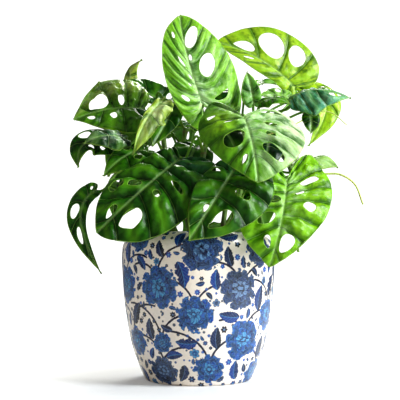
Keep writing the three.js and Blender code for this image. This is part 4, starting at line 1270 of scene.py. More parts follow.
# %% Build one stalk
STALK_RADIUS = 1.5
STALK_UNDER, STALK_BEHIND = 5, 6
STALK_STEPS, STALK_SIDES = 60, 14
ROD_MM = 1.25
SHEATH_MM, SHEATH_LONG_MM = 0.9, 7
COLLAR_MM, COLLAR_BACK_MM, COLLAR_LONG_MM = 0.25, 9, 4
END_MM, END_LONG_MM = 0.5, 3
BROWN_LONG_MM = 12
AWAY_FROM_VEINS_MM = 20


def stalk_line(leaf):
    """The stalk's middle line in mm, from inside its stem to under the blade's base."""
    (stem, place), *passes = leaf["stalk"]
    base, bend, up = (np.array(p, float) for p in (leaf["base"], leaf["bend"], leaf["up"][0]))
    along = unit(bend - base)
    up = unit(up - (up @ along) * along)
    under = base + along * STALK_UNDER - up * 0.6 * STALK_RADIUS
    behind = base - along * STALK_BEHIND - up * STALK_BEHIND
    start = stem_line(stem, np.array([place]))[0]
    return space_spline([start, *passes, behind, under], np.linspace(0, 1, STALK_STEPS))


def stalk(leaf):
    """One stalk, as a tube whose radius is a rod's plus three terms that die out along it.

    They are the sheath at the stem, a collar a little before the blade, and a taper at the end.
    """
    line = stalk_line(leaf)
    far = path_length(line)
    left = far[-1] - far
    sheath = SHEATH_MM * np.exp(-far / SHEATH_LONG_MM)
    collar = COLLAR_MM * np.exp(-((left - COLLAR_BACK_MM) / COLLAR_LONG_MM) ** 2)
    taper = END_MM * np.exp(-left / END_LONG_MM)
    plain = np.ones(len(line))
    away = plain * AWAY_FROM_VEINS_MM
    green, brown = paint("#5f8a35"), paint("#7a7a3a")
    values = {
        "veins": plain * 0.5, "bay_mm": away, "rib_mm": away, "rim_mm": away,
        # a little painted sheen on the stalk as well
        "under": plain * 0.5, "silver": plain * 0.1,
        "tone": green + (brown - green) * np.exp(-far / BROWN_LONG_MM)[:, None],
    }
    return tube(line, ROD_MM + sheath + collar - taper, STALK_SIDES, values)


def grow_leaf(leaf):
    """A leaf: its blade and its stalk in one mesh, in the place of the measured leaf."""
    name = leaf["name"]
    return add_piece("grown_" + name, join([stalk(leaf), blade(leaf)]), leaf_green, name)


grown = [grow_leaf(leaf) for leaf in leaves]
print(len(grown), "leaves with", sum(len(piece.data.polygons) for piece in grown), "triangles")

# %% [markdown]
# ## The stems' skin and rings
#
# Under the leaves the plant is a bundle of smooth vines. Each has a low ring every few centimetres, where
# an older leaf stood. The rings could be separate collars. Here they are only a wave in the tube's radius,
# which the skin's colour follows too.

# %% Stems
STEM_STEPS, STEM_SIDES = 120, 24
RING_APART_MM, RING_SHIFT_MM = 24, 7
RING_MM, RING_RISE = 1.2, 0.3
BLUNT = 0.02


def bark_finish(name, young, old, roughness):
    """A green skin with long flecks of its older green, and brown where a ring is."""
    material, tree, shader = new_material(
        name, Roughness=roughness, Subsurface_Weight=0.1, Subsurface_Scale=0.001,
    )
    fleck = noise(tree, 4, detail=4, stretch=(1, 1, 0.3))
    colour = blend(tree, fleck.over(0.4, 0.65), paint(young), paint(old))
    colour = blend(tree, reading(tree, "ring") * 0.8, colour, paint("#6d5b35"))
    plug(tree, shader.inputs["Base Color"], colour)
    plug(tree, shader.inputs["Normal"], bump(tree, fleck, 0.4, 0.7))
    return material


def grow_stem(stem):
    """A stem: a tube with a low ring every few centimetres, closed by a rounded top."""
    line = stem_line(stem, np.linspace(0, 1, STEM_STEPS))
    far = path_length(line)
    left = far[-1] - far
    from_ring = (far + RING_SHIFT_MM * stem) % RING_APART_MM - RING_APART_MM / 2
    ring = np.exp(-((from_ring / RING_MM) ** 2))
    into_top = np.maximum(STEM_RADIUS - left, 0) / STEM_RADIUS
    round_top = np.sqrt(np.clip(1 - into_top**2, BLUNT, 1))
    radius = (STEM_RADIUS - RING_RISE + RING_RISE * ring) * round_top
    return tube(line, radius, STEM_SIDES, {"ring": ring})


stem_skin = bark_finish("stem_skin", "#6f8f3c", "#4f6b2c", 0.5)
for number in range(1, len(STEMS) + 1):
    add_piece(f"green_stem_{number}", grow_stem(number - 1), stem_skin, f"stem_{number}")
print("stems:", len(STEMS))

# %% [markdown]
# ## Hanging roots
#
# The two roots start inside a stem and hang free. They have no rings, so they are plain tubes that get
# thinner toward the tip, with the stems' kind of skin in a paler, duller colour.

# %% Roots
ROOTS = [
    dict(
        radius=1.4, stem=[2, 0.45],
        points=[[92, 8, 202], [130, 2, 204], [145, 0, 203], [159, -2, 193], [167, -2, 172]],
    ),
    dict(radius=0.8, stem=[2, 0.85], points=[[104, 12, 260], [128, 9, 272], [140, 8, 270], [155, 7, 257]]),
]
ROOT_STEPS, ROOT_SIDES = 90, 16
ROOT_TIP = 0.6


def grow_root(root):
    """A root: a tube from its stem through its points, thinner toward the tip."""
    stem, place = root["stem"]
    start = stem_line(stem, np.array([place]))[0]
    line = space_spline([start, *root["points"]], np.linspace(0, 1, ROOT_STEPS))
    radius = root["radius"] * np.linspace(1, ROOT_TIP, ROOT_STEPS)
    return tube(line, radius, ROOT_SIDES, {"ring": np.zeros(ROOT_STEPS)})


root_skin = bark_finish("root_skin", "#c0cc70", "#a0a850", 0.7)
for number, root in enumerate(ROOTS, 1):
    add_piece(f"hanging_root_{number}", grow_root(root), root_skin, f"air_root_{number}")
print("roots:", len(ROOTS))

# %% [markdown]
# ## Turned forms
#
# The pot and the soil in it are both turned on the same axis, so one lathe function serves them. It takes
# half an outline and turns it round, the way a potter's wheel does.

# %% Sizes of the pot and the soil, and the lathe
POT_HEIGHT, SHOULDER_HEIGHT = 140, 126
BASE_RADIUS, BELLY_RADIUS, LIP_RADIUS = 50, 76.1, 60.5
OUTER_WALL = [[53, 3], [65.2, 33], [72.8, 74], [BELLY_RADIUS, 112], [BELLY_RADIUS, SHOULDER_HEIGHT]]
WALL, FLOOR, GAP = 5, 8, 0.35
LIP_WIDTH, LIP_DROP, LIP_DEPTH = 3, 2, 8
INNER_FLOOR_ROUND = 4
SOIL_TOP, SOIL_HUMP, LUMP_MM = 119, 2.1, 30


def lathe(outline, sectors):
    """A closed body: the outline [radius, height], which starts and ends on the axis, turned round z."""
    outline = np.asarray(outline, float)
    turn = np.arange(sectors) / sectors * TAU
    radius, height = outline[1:-1].T
    x, y = radius[:, None] * np.cos(turn), radius[:, None] * np.sin(turn)
    points = np.stack([x, y, np.repeat(height[:, None], sectors, 1)], -1).reshape(-1, 3)
    ends = [[0, 0, outline[0, 1]], [0, 0, outline[-1, 1]]]
    return {"points": np.vstack([points, ends]), "triangles": ring_triangles(len(radius), sectors)}


print("the lip is", 2 * LIP_RADIUS, "mm across, and the pot is", POT_HEIGHT, "mm high")

# %% [markdown]
# ## Soil
#
# The leaves hide the soil, but it shows from above. It is a plug that fills the pot's inside up to a level a
# little under the lip, as it is when a plant has been watered for some months. Lumps of earth could be
# scattered over it. Its own surface is pushed up and down here, and the finish adds the crumbs.

# %% Build the soil
SOIL_RINGS, SOIL_SECTORS = 60, 240
FLAT_EDGE = 3
SIDE_STOP = 3
CROSSED_LUMPS, SLANTED_LUMPS = 0.35, 0.15


def soil_surface():
    """The soil: a plug that follows the pot's inside, with a lumpy top.

    The lumps are two crossed waves and a smaller slanted one. They die out at the edge.
    """
    sides = [[r - WALL - 2 * GAP, z + GAP] for r, z in OUTER_WALL if FLOOR + WALL < z < SOIL_TOP - SIDE_STOP]
    edge = sides[-1][0]
    top = [[edge * (1 - i / SOIL_RINGS), SOIL_TOP] for i in range(SOIL_RINGS + 1)]
    bottom = [[0, FLOOR + GAP], [BASE_RADIUS - INNER_FLOOR_ROUND, FLOOR + GAP]]
    surface = lathe([*bottom, *sides, *top], SOIL_SECTORS)
    x, y, z = surface["points"].T
    crossed = np.sin(TAU * (x + 3) / LUMP_MM) * np.sin(TAU * (y + 9) / (1.2 * LUMP_MM))
    slanted = np.sin(TAU * (x - y) / (LUMP_MM / 2))
    lumps = 0.5 + CROSSED_LUMPS * crossed + SLANTED_LUMPS * slanted
    inward = np.minimum(1, FLAT_EDGE * (1 - np.hypot(x, y) / edge))
    on_top = np.isclose(z, SOIL_TOP)
    surface["points"][on_top, 2] += (SOIL_HUMP * inward * lumps)[on_top]
    return surface


def soil_finish():
    """Dark, dull, crumbly earth."""
    material, tree, shader = new_material("potting_soil", Roughness=0.95)
    crumb = noise(tree, 3, detail=6)
    earth = blend(tree, crumb.over(0.35, 0.7), paint("#2a1b12"), paint("#5d4632"))
    plug(tree, shader.inputs["Base Color"], earth)
    plug(tree, shader.inputs["Normal"], bump(tree, crumb, 3, 1.0))
    return material


soil = add_piece("potting_soil", soil_surface(), soil_finish(), "soil")
print("soil triangles:", len(soil.data.polygons))

# %% [markdown]
# ## The pot's shape
#
# The pot is a glazed lathe form: a narrow foot, a wall that swells upward, a rounded shoulder and a low lip.
# Its outline is the measured one, drawn with many more points, and turned in steps of about a millimetre,
# because the grid also carries the painted pattern.

# %% Outline of the pot
POT_SECTORS, WALL_ROWS, SHOULDER_ROWS = 420, 190, 26
LIP_TURNS = (0.4, 0.9, 1.4)
FOOT_EDGE = [[BASE_RADIUS, 0], [BASE_RADIUS + 1.6, 0.7]]
# From the lip down to where the inside reaches the belly
NECK = [
    [LIP_RADIUS - LIP_WIDTH, POT_HEIGHT - LIP_DEPTH + 1],
    [LIP_RADIUS - LIP_WIDTH + 1.5, POT_HEIGHT - LIP_DEPTH - 2],
    [BELLY_RADIUS - WALL, SOIL_TOP + 3],
]


def pot_outline():
    """The outline as [radius, height] from the foot's middle up, over the lip and down to the floor.

    The wall is a spline, the shoulder a quarter of an ellipse and the lip a smaller arc. It also says how
    many points come before the lip.
    """
    wall = flat_spline(OUTER_WALL, np.linspace(0, 1, WALL_ROWS))
    angle = np.linspace(0, np.pi / 2, SHOULDER_ROWS)[1:]
    shoulder = np.column_stack([
        LIP_RADIUS + (BELLY_RADIUS - LIP_RADIUS) * np.cos(angle),
        SHOULDER_HEIGHT + (POT_HEIGHT - SHOULDER_HEIGHT) * np.sin(angle),
    ])
    lip = [
        [LIP_RADIUS - LIP_WIDTH * np.sin(t), POT_HEIGHT - LIP_DROP * (1 - np.cos(t))] for t in LIP_TURNS
    ]
    inner_wall = [[r - WALL, z] for r, z in OUTER_WALL[::-1] if FLOOR + WALL < z < SOIL_TOP]
    inner_floor = [
        [BASE_RADIUS, FLOOR + INNER_FLOOR_ROUND], [BASE_RADIUS - INNER_FLOOR_ROUND, FLOOR], [0, FLOOR],
    ]
    before_lip = np.vstack([[[0, 0]], FOOT_EDGE, wall, shoulder])
    return np.vstack([before_lip, lip, NECK, inner_wall, inner_floor]), len(before_lip)


outline, painted_end = pot_outline()
print("outline points:", len(outline), "of which the pattern covers", painted_end - 1)
print("the pot is", round(2 * float(outline[:, 0].max()), 1), "mm across")

# %% [markdown]
# ## Laying out the pattern
#
# The pot wears a printed chintz of blossoms, rosettes, leaves and trailing stems, in a layout of its own.
# Each motif is stamped onto the pot's grid: the points it covers learn where they lie in the motif's own
# coordinates, so that the material can draw it with edges as sharp as ink. A motif is only stamped where
# nothing else lies, which keeps the pattern dense without a collision.

# %% Stamp motifs on the grid
CELL_MM = 1.4
NO_STEM_MM = 50.0
PATTERN_SEED = 8
OVER_FOOT, UNDER_LIP = 0.4, 0.2
LAYERS = ("blossom", "rosette", "leaf", "sprig")
painted = outline[1:painted_end]
ring_radius = painted[:, 0]
ring_height = path_length(painted)
sector_angle = np.arange(POT_SECTORS) / POT_SECTORS * TAU
grid_shape = (len(painted), POT_SECTORS)
stamps = {layer: np.zeros((*grid_shape, 6)) for layer in LAYERS}
covered = np.zeros(grid_shape, bool)
stem_mm = np.full(grid_shape, NO_STEM_MM)
chance = np.random.default_rng(PATTERN_SEED)


def radius_at(height):
    """The pot's radius in mm, for a height along its outline."""
    return np.interp(height, ring_height, ring_radius)


def turned_off(angle):
    """How far each column of the grid is turned from an angle, from half a turn back to half a turn on."""
    return (sector_angle - angle + np.pi) % TAU - np.pi


def local_place(rows, angle, height, size, turn, squeeze):
    """Some rows' points in a motif's own coordinates, in units of its size.

    They are turned with the motif. The third is the distance from its middle, as if it were stretched to
    be as wide as it is long; squeeze is its width over its length.
    """
    x = turned_off(angle)[None, :] * ring_radius[rows, None]
    y = np.repeat((ring_height[rows] - height)[:, None], POT_SECTORS, 1)
    along = (x * math.cos(turn) + y * math.sin(turn)) / size
    across = (y * math.cos(turn) - x * math.sin(turn)) / size
    return along, across, np.hypot(along, across / squeeze)


def stamp(layer, angle, height, size, turn, petals, squeeze=1.0, apart=1.0):
    """Stamps one motif if its place is free, and says whether it did.

    Each point of it gets six numbers: its place along and across the motif, 1 for being inside, and the
    motif's dye, petals and size. No other ink may lie within apart mm of the motif.
    """
    if not OVER_FOOT * size < height < ring_height[-1] - UNDER_LIP * size:
        return False
    reach_mm = size + 2 * CELL_MM + apart
    rows = slice(*np.searchsorted(ring_height, [height - reach_mm, height + reach_mm]))
    along, across, reach = local_place(rows, angle, height, size, turn, squeeze)
    ink = reach < 1 + apart / (size * squeeze)
    window = reach < 1 + CELL_MM / (size * squeeze)
    sheet = stamps[layer][rows]
    if (covered[rows] & ink).any() or (sheet[..., 2][window] > 0).any():
        return False
    dye = chance.uniform()
    same = [np.full(window.sum(), value) for value in (1, dye, petals, size)]
    sheet[window] = np.column_stack([along[window], across[window], *same])
    covered[rows][reach < 1] = True
    return True


print("the pattern is", ring_height[-1].round(1), "mm high, on", grid_shape, "points")

# %% [markdown]
# ## Stems on the pot
#
# The printed stems are thin arcs. An arc needs no points of its own: each grid point only learns how far it
# is from the nearest one, and the finish turns that distance into a line.

# %% Draw an arc
LEAF_SHARES = (0.2, 0.35, 0.5, 0.65, 0.8)


def draw_arc(start, end, bow):
    """A stem from start to end, each [angle, height]: an arc of a circle that bows by a part of its length.

    The distance to it is the distance to the circle beside the arc, and to the nearer end beyond it. It
    also says where leaves may grow: the angle, the height and the arc's slope at some places on it.
    """
    middle_radius = radius_at((start[1] + end[1]) / 2)
    turn = (end[0] - start[0] + np.pi) % TAU - np.pi
    x = turned_off(start[0])[None, :] * middle_radius
    y = (ring_height - start[1])[:, None]
    chord = np.array([turn * middle_radius, end[1] - start[1]])
    length = np.hypot(*chord)
    along = (x * chord[0] + y * chord[1]) / length
    across = (y * chord[0] - x * chord[1]) / length
    rise = bow * length
    radius = (length**2 / 4 + rise**2) / (2 * rise)
    hub = rise - radius
    beside = np.abs(np.hypot(along - length / 2, across - hub) - abs(radius))
    half_arc = math.asin(min(1.0, length / 2 / abs(radius)))
    sector = np.abs(np.arctan2(along - length / 2, (across - hub) * np.sign(radius))) < half_arc
    ends = np.minimum(np.hypot(along, across), np.hypot(along - length, across))
    np.minimum(stem_mm, np.where(sector, beside, ends), out=stem_mm)
    points = []
    for share in LEAF_SHARES:
        a = length * share
        c = hub + math.copysign(math.sqrt(max(radius**2 - (a - length / 2) ** 2, 0)), radius)
        place = np.array([a * chord[0] - c * chord[1], a * chord[1] + c * chord[0]]) / length
        slope = math.atan2(chord[1], chord[0]) - math.asin((a - length / 2) / radius)
        points.append((start[0] + place[0] / middle_radius, start[1] + place[1], slope))
    return points


print("an arc has room for leaves at", len(LEAF_SHARES), "places")

# %% [markdown]
# ## Blossoms
#
# The large motifs come first, since they need the most room. Many places are tried for each kind of
# blossom, and it is printed wherever there is room. Then come as many leaves of its crown as still fit.

# %% Blossoms with their crowns
BLOSSOM_APART = 4.0
# Each kind as its size in mm, how often it is tried, and the lowest and the highest place for it in mm
BLOSSOM_KINDS = [(15, 40, 9, 22), (18, 50, 36, 140), (14, 120, 20, 145), (10, 120, 15, 150)]
BLOSSOM_SIZES, FEWEST_PETALS, MOST_PETALS = (0.9, 1.1), 5, 8
CROWN_LEAVES, CROWN_SQUEEZE = 7, 0.6
CROWN_LONG, CROWN_OUT = (0.6, 1.0), 0.7
CROWN_SHIFT, CROWN_TILT = 0.2, 0.7
LEAF_SQUEEZE, LEAF_APART = 0.5, 0.1
FEWEST_SMALL, MOST_SMALL = 5, 7


def place_beside(angle, height, turn, out):
    """The place that lies out mm from another in the direction of turn, as an angle and a height."""
    return angle + math.cos(turn) * out / radius_at(height), height + math.sin(turn) * out


def few_petals():
    """A chance number of petals for a small flower. For a leaf it says how deep its lobes are."""
    return int(chance.integers(FEWEST_SMALL, MOST_SMALL + 1))


def draw_crown(angle, height, size):
    """A ring of leaves round a blossom, each where it is free, turned a little by chance."""
    first = chance.uniform(0, TAU)
    for k in range(CROWN_LEAVES):
        long = chance.uniform(*CROWN_LONG) * size
        turn = first + k * TAU / CROWN_LEAVES + chance.uniform(-CROWN_SHIFT, CROWN_SHIFT)
        place = place_beside(angle, height, turn, size + CROWN_OUT * long)
        tilt = chance.uniform(-CROWN_TILT, CROWN_TILT)
        stamp("leaf", *place, long, turn + tilt, few_petals(), CROWN_SQUEEZE, LEAF_APART)


blossoms = []
for size_mm, tries, lowest, highest in BLOSSOM_KINDS:
    for _ in range(tries):
        angle, height = chance.uniform(0, TAU), chance.uniform(lowest, highest)
        size = size_mm * chance.uniform(*BLOSSOM_SIZES)
        turn, petals = chance.uniform(0, TAU), int(chance.integers(FEWEST_PETALS, MOST_PETALS + 1))
        if stamp("blossom", angle, height, size, turn, petals, apart=BLOSSOM_APART):
            blossoms.append((angle, height))
            draw_crown(angle, height, size)
print("blossoms:", len(blossoms))

# %% [markdown]
# ## Stems from the blossoms
#
# Two stems rise from each blossom, one to either side, unless it stands close under the lip. Leaves are
# tried in pairs at several places along them. The stems run under the other motifs, as if those lay on top.

# %% Stems and their leaves
STEM_TURN, STEM_RISE_MM, STEM_BOW = (0.3, 0.6), (18, 38), (0.18, 0.34)
TOP_CLEAR_MM = 4
LEAF_MM, LEAF_TILT, LEAF_OUT = (8, 13), (0.5, 1.0), 1.1
joints = []
for angle, height in blossoms:
    for way in (-1, 1):
        far_angle = angle + way * chance.uniform(*STEM_TURN)
        far_height = height + chance.uniform(*STEM_RISE_MM)
        if far_height < ring_height[-1] - TOP_CLEAR_MM:
            joints += draw_arc((angle, height), (far_angle, far_height), way * chance.uniform(*STEM_BOW))

leaf_count = 0
for angle, height, slope in joints:
    for side in (-1, 1):
        size = chance.uniform(*LEAF_MM)
        turn = slope + side * chance.uniform(*LEAF_TILT)
        place = place_beside(angle, height, turn, LEAF_OUT * size)
        leaf_count += stamp("leaf", *place, size, turn, few_petals(), LEAF_SQUEEZE, LEAF_APART)
print(leaf_count, "leaves on", len(joints), "places of the stems")

# %% [markdown]
# ## The small motifs
#
# What is still free is filled with ever smaller motifs at chance places, which keeps the print dense and
# even, as a chintz is.

# %% Rosettes, loose leaves and sprigs in what is free
# Each filling as its layer, how often it is tried, its smallest and largest size in mm, its squeeze and
# how far it stays from other ink in mm
FILLINGS = [
    ("leaf", 2500, 9, 13, 0.5, 0.1),
    ("rosette", 400, 5, 8, 1.0, 0.4),
    ("leaf", 2500, 5, 9, 0.5, 0.1),
    ("rosette", 400, 3.5, 5, 1.0, 0.3),
    ("leaf", 1500, 3.5, 6, 0.5, 0.2),
    ("sprig", 1500, 2, 3.4, 1.0, 0.3),
    ("leaf", 1500, 2.2, 3.5, 0.5, 0.2),
    ("sprig", 1800, 1.0, 1.8, 1.0, 0.2),
]
LOWEST_MM = 2
counts = dict.fromkeys(LAYERS, 0)
for layer, tries, small, large, squeeze, apart in FILLINGS:
    for _ in range(tries):
        place = chance.uniform(0, TAU), chance.uniform(LOWEST_MM, ring_height[-1])
        size, turn = chance.uniform(small, large), chance.uniform(0, TAU)
        counts[layer] += stamp(layer, *place, size, turn, few_petals(), squeeze, apart)
print("added", counts, "ink covers", round(float(covered.mean()), 2))

# %% [markdown]
# ## The ink and the glaze
#
# The material reads a point's place in its motif and draws with plain maths: petals are a scalloped edge
# in polar coordinates, rays are waves round the middle, and a leaf is a toothed lens with a pale midrib.
# Over it all lies one smooth, clear glaze.

# %% Read a stamp


def parts(wire):
    """The three numbers of a vector wire."""
    node = wire.tree.nodes.new("ShaderNodeSeparateXYZ")
    plug(wire.tree, node.inputs[0], wire)
    return [Wire(wire.tree, socket) for socket in node.outputs]


def read_stamp(tree, layer):
    """A motif's own x and y, whether a motif is there, and its dye, petals and size."""
    x, y, here = parts(reading(tree, layer + "_place", colour=True))
    return x, y, here.math("GREATER_THAN", 0.99), *parts(reading(tree, layer + "_kind", colour=True))


def wobble(tree, size_mm, width, detail=2.0):
    """Noise about 0, as wide as width from end to end, for lines that look drawn by hand."""
    return noise(tree, size_mm, detail=detail) * width - width / 2


def polar(x, y):
    """How far out a point lies, and its angle."""
    return (x * x + y * y) ** 0.5, y.math("ARCTAN2", x)


# The dark, the middle and the light blue, each in a navy and in a cobalt family
INKS = [("#070a24", "#0b1854"), ("#1a2f62", "#1c46a0"), ("#7090b8", "#54a0d0")]


def inks(tree, dye):
    """A motif's three inks: the navy family where its dye is 0, and the cobalt one where it is 1."""
    return [blend(tree, dye.over(0.35, 0.65), paint(navy), paint(cobalt)) for navy, cobalt in INKS]


print("a motif is drawn in", len(INKS), "inks")

# %% [markdown]
# ## Flowers in ink
#
# A flower is a few rings of petals, one on another, each a dark outline round a lighter fill with fine rays.
# In polar coordinates a ring's edge is a wave, so the material can draw it at any size without a picture.

# %% Draw the flowers
LINE_MM, SOFT_MM = 0.45, 0.12
PETAL_ROUND = 0.45
REACH_WOBBLE, TURN_WOBBLE = 0.7, 1.6
RAYS_IN_PETAL, RAY_TWIST = 3.0, 4
HATCH_MM, HATCH_LINE, HATCH = 0.55, (0.25, 0.12), 0.6
PALE_EDGE_MM, PALE_EDGE = (0.9, 0.2), 0.5
PETAL_GAP = (0.14, 0.24)
# Each ring as its outer edge, its depth, the shift of its petals, the ink that fills it (0 dark, 1 middle,
# 2 light) and how strongly it is streaked
ROSETTE_RINGS = [(1.0, 0.45, 0, 2, 0.5), (0.5, 0.2, 0.8, 1, 0), (0.25, 0.05, 0, 2, 0)]
BLOSSOM_RINGS = [
    (1.05, 0.3, 0, 1, 0.9), (0.82, 0.26, 1.5, 0, 0.7), (0.62, 0.22, 0, 1, 0.8), (0.44, 0.18, 1.5, 2, 0.6),
    (0.26, 0.1, 0, 0, 0.3), (0.14, 0.05, 0, 2, 0),
]


def petal_wave(angle, petals, shift=0.0):
    """1 at the middle of each petal and 0 between two of them."""
    return (angle * petals * 0.5 + shift).math("COSINE").unsigned()


def petal_edge(wave, reach, outer, depth):
    """Above 0 inside the petals, whose edge is at outer at their tips and depth less between them."""
    return wave ** PETAL_ROUND * depth + (outer - depth) - reach


def inside(edge, size):
    """1 where edge is above 0, with a soft step a tenth of a millimetre wide to either side."""
    return (edge * size).over(-SOFT_MM, SOFT_MM)


def draw_flower(tree, colour, layer, rings):
    """Lays a flower over the colour, ring by ring from the outside, with a hand-drawn unevenness."""
    x, y, here, dye, petals, size = read_stamp(tree, layer)
    reach, angle = polar(x, y)
    tints = inks(tree, dye)
    reach = reach + wobble(tree, 6, REACH_WOBBLE, detail=4)
    angle = angle + wobble(tree, 9, TURN_WOBBLE)
    hatch = (reach * size + angle).math("PINGPONG", HATCH_MM).over(*HATCH_LINE) * HATCH
    for outer, depth, shift, ink, streak in rings:
        wave = petal_wave(angle, petals, shift)
        edge = petal_edge(wave, reach, outer, depth)
        colour = blend(tree, inside(edge, size) * here, colour, tints[0])
        filled = edge - LINE_MM / size
        rays = (angle * petals * RAYS_IN_PETAL + reach * RAY_TWIST).math("COSINE") * 0.5 + 0.5
        light = blend(tree, rays.over(0.5, 0.75) * streak, tints[ink], tints[0])
        light = blend(tree, hatch * streak, light, tints[2])
        light = blend(tree, (filled * size).over(*PALE_EDGE_MM) * PALE_EDGE, light, tints[2])
        colour = blend(tree, inside(filled, size) * here * wave.over(*PETAL_GAP), colour, light)
    return colour


print("rings of petals: blossom", len(BLOSSOM_RINGS), "rosette", len(ROSETTE_RINGS))

# %% [markdown]
# ## Leaves and sprigs in ink
#
# A printed leaf is a lens with teeth along its edge, dark on one half and lighter on the other, with a pale
# midrib. Some of them are cut into lobes. A sprig is so small that a star with a pale eye is enough.

# %% Draw the leaves and the sprigs
SAG, SAG_LEVEL = 0.16, 0.3
HALF_WIDTH, NARROWER, LENS = 0.52, 0.12, 0.7
TEETH, TOOTH = 4.5, 0.12
LOBES, LOBE_DEPTH, LOBE_LEAST = 5.2, 0.45, 0.62
DEEP_FROM = (5.2, 6.8)
VEINS_IN_LEAF, VEIN_LINE, VEIN_PALE = 3.5, (0.12, 0.04), 0.4
RIB_LINE_MM, RIB_PALE = (0.3, 0.12), 0.7
LEAF_LINE_MM = 0.3
EYE, EYE_PALE = 0.3, 0.8


def draw_leaves(tree, colour):
    """Toothed two-tone leaves with a pale midrib and side veins.

    The half width is a lens over x, less a zigzag of teeth. On a deep leaf, lobes multiply it.
    """
    x, y, here, dye, petals, size = read_stamp(tree, "leaf")
    tints = inks(tree, dye)
    y = y + (x * x - SAG_LEVEL) * SAG
    off = y.unsigned()
    deep = petals.over(*DEEP_FROM)
    tooth = (x * TEETH + off * 2).math("PINGPONG", 0.5) * TOOTH
    lobes = (x * LOBES + off * 3).math("COSINE").unsigned() ** 0.6 * LOBE_DEPTH + LOBE_LEAST
    lens = (1 - x * x).math("MAXIMUM", 0.0) ** LENS * (HALF_WIDTH - x * NARROWER)
    edge = lens * (deep * (lobes - 1) + 1) - tooth - off
    colour = blend(tree, inside(edge, size) * here, colour, tints[0])
    fill = blend(tree, y.over(-0.01, 0.01) * 0.6, tints[0], tints[1])
    veins = (x * VEINS_IN_LEAF - off * 4).math("PINGPONG", 0.5)
    fill = blend(tree, veins.over(*VEIN_LINE) * VEIN_PALE, fill, tints[2])
    fill = blend(tree, (off * size).over(*RIB_LINE_MM) * RIB_PALE, fill, tints[2])
    return blend(tree, inside(edge - LEAF_LINE_MM / size, size) * here, colour, fill)


def draw_sprigs(tree, colour):
    """Little solid stars, each with a pale eye."""
    x, y, here, dye, petals, size = read_stamp(tree, "sprig")
    reach, angle = polar(x, y)
    tints = inks(tree, dye)
    edge = petal_edge(petal_wave(angle, petals), reach, 1.0, 0.6)
    ink = blend(tree, dye.over(0.3, 0.9), tints[0], tints[1])
    colour = blend(tree, inside(edge, size) * here, colour, ink)
    return blend(tree, inside(EYE - reach, size) * here * EYE_PALE, colour, tints[2])


print("a printed leaf is", HALF_WIDTH, "times as wide as it is long")

# %% [markdown]
# ## The pot's finish
#
# All is laid over a cream ground in the order in which it would be printed: stems, leaves, sprigs, rosettes
# and blossoms. Small pale flaws and a weak unevenness of the gloss keep the glaze from looking like plastic.

# %% The glaze
STEM_EDGE_MM, STEM_WOBBLE_MM = (1.05, 0.8), 0.9
FLAW_MM, FLAW_FROM, FLAW = 1.2, (0.62, 0.75), 0.25
GLAZE_ROUGH, ROUGH_SPREAD = 0.22, 0.12


def glaze_finish():
    """Cream slip under a blue print and a clear, glossy glaze."""
    material, tree, shader = new_material("floral_glaze", Coat_Weight=0.25, Coat_Roughness=0.06)
    ground = blend(tree, noise(tree, 40).over(0.3, 0.7), paint("#f8ecdc"), paint("#f4ece4"))
    stem = reading(tree, "stem_mm") + wobble(tree, 3, STEM_WOBBLE_MM)
    colour = blend(tree, stem.over(*STEM_EDGE_MM), ground, paint("#120e30"))
    colour = draw_leaves(tree, colour)
    colour = draw_sprigs(tree, colour)
    colour = draw_flower(tree, colour, "rosette", ROSETTE_RINGS)
    colour = draw_flower(tree, colour, "blossom", BLOSSOM_RINGS)
    flaw = noise(tree, FLAW_MM, detail=3).over(*FLAW_FROM) * FLAW
    plug(tree, shader.inputs["Base Color"], blend(tree, flaw, colour, paint("#cfc4c4")))
    plug(tree, shader.inputs["Roughness"], noise(tree, 6) * ROUGH_SPREAD + GLAZE_ROUGH)
    plug(tree, shader.inputs["Normal"], bump(tree, noise(tree, 14, detail=1), 0.5, 0.3))
    return material


floral_glaze = glaze_finish()
print("glaze material has", len(floral_glaze.node_tree.nodes), "nodes")

# %% [markdown]
# ## The pot
#
# The outline is turned, and the stamps are handed over as values at its points. The inside of the pot has
# no print, so its points get plain values.

# %% Build the pot
NO_PLACE, NO_KIND = (2, 0, 0), (0, 5, 5)
surface = lathe(outline, POT_SECTORS)
bare_points = len(surface["points"]) - painted.shape[0] * POT_SECTORS


def over_pot(field, rest):
    """A field on the painted grid, spread to the pot's other points with a plain value."""
    tail = np.broadcast_to(np.asarray(rest, float), (bare_points, *field.shape[2:]))
    return np.concatenate([field.reshape(-1, *field.shape[2:]), tail])


surface["values"] = {"stem_mm": over_pot(stem_mm, NO_STEM_MM)}
for layer in LAYERS:
    surface["values"][layer + "_place"] = over_pot(stamps[layer][..., :3], NO_PLACE)
    surface["values"][layer + "_kind"] = over_pot(stamps[layer][..., 3:], NO_KIND)
pot = add_piece("glazed_pot", surface, floral_glaze, "pot")
print("pot triangles:", len(pot.data.polygons))

# %% [markdown]
# ## The table
#
# The plant is shown as a shop shows it, on a plain white ground. The table is one large sheet. It gives
# the camera a white of its own that brightens with the distance, while the light it sends to the plant
# stays modest. So the ground turns white without washing out the leaves, and the pot keeps its shadow.

# %% Table
TABLE_HALF = 6
GLOW_NEAR, GLOW_FAR = 0.08, 0.3
GLOW_LEAST, GLOW_MORE = 0.12, 0.85


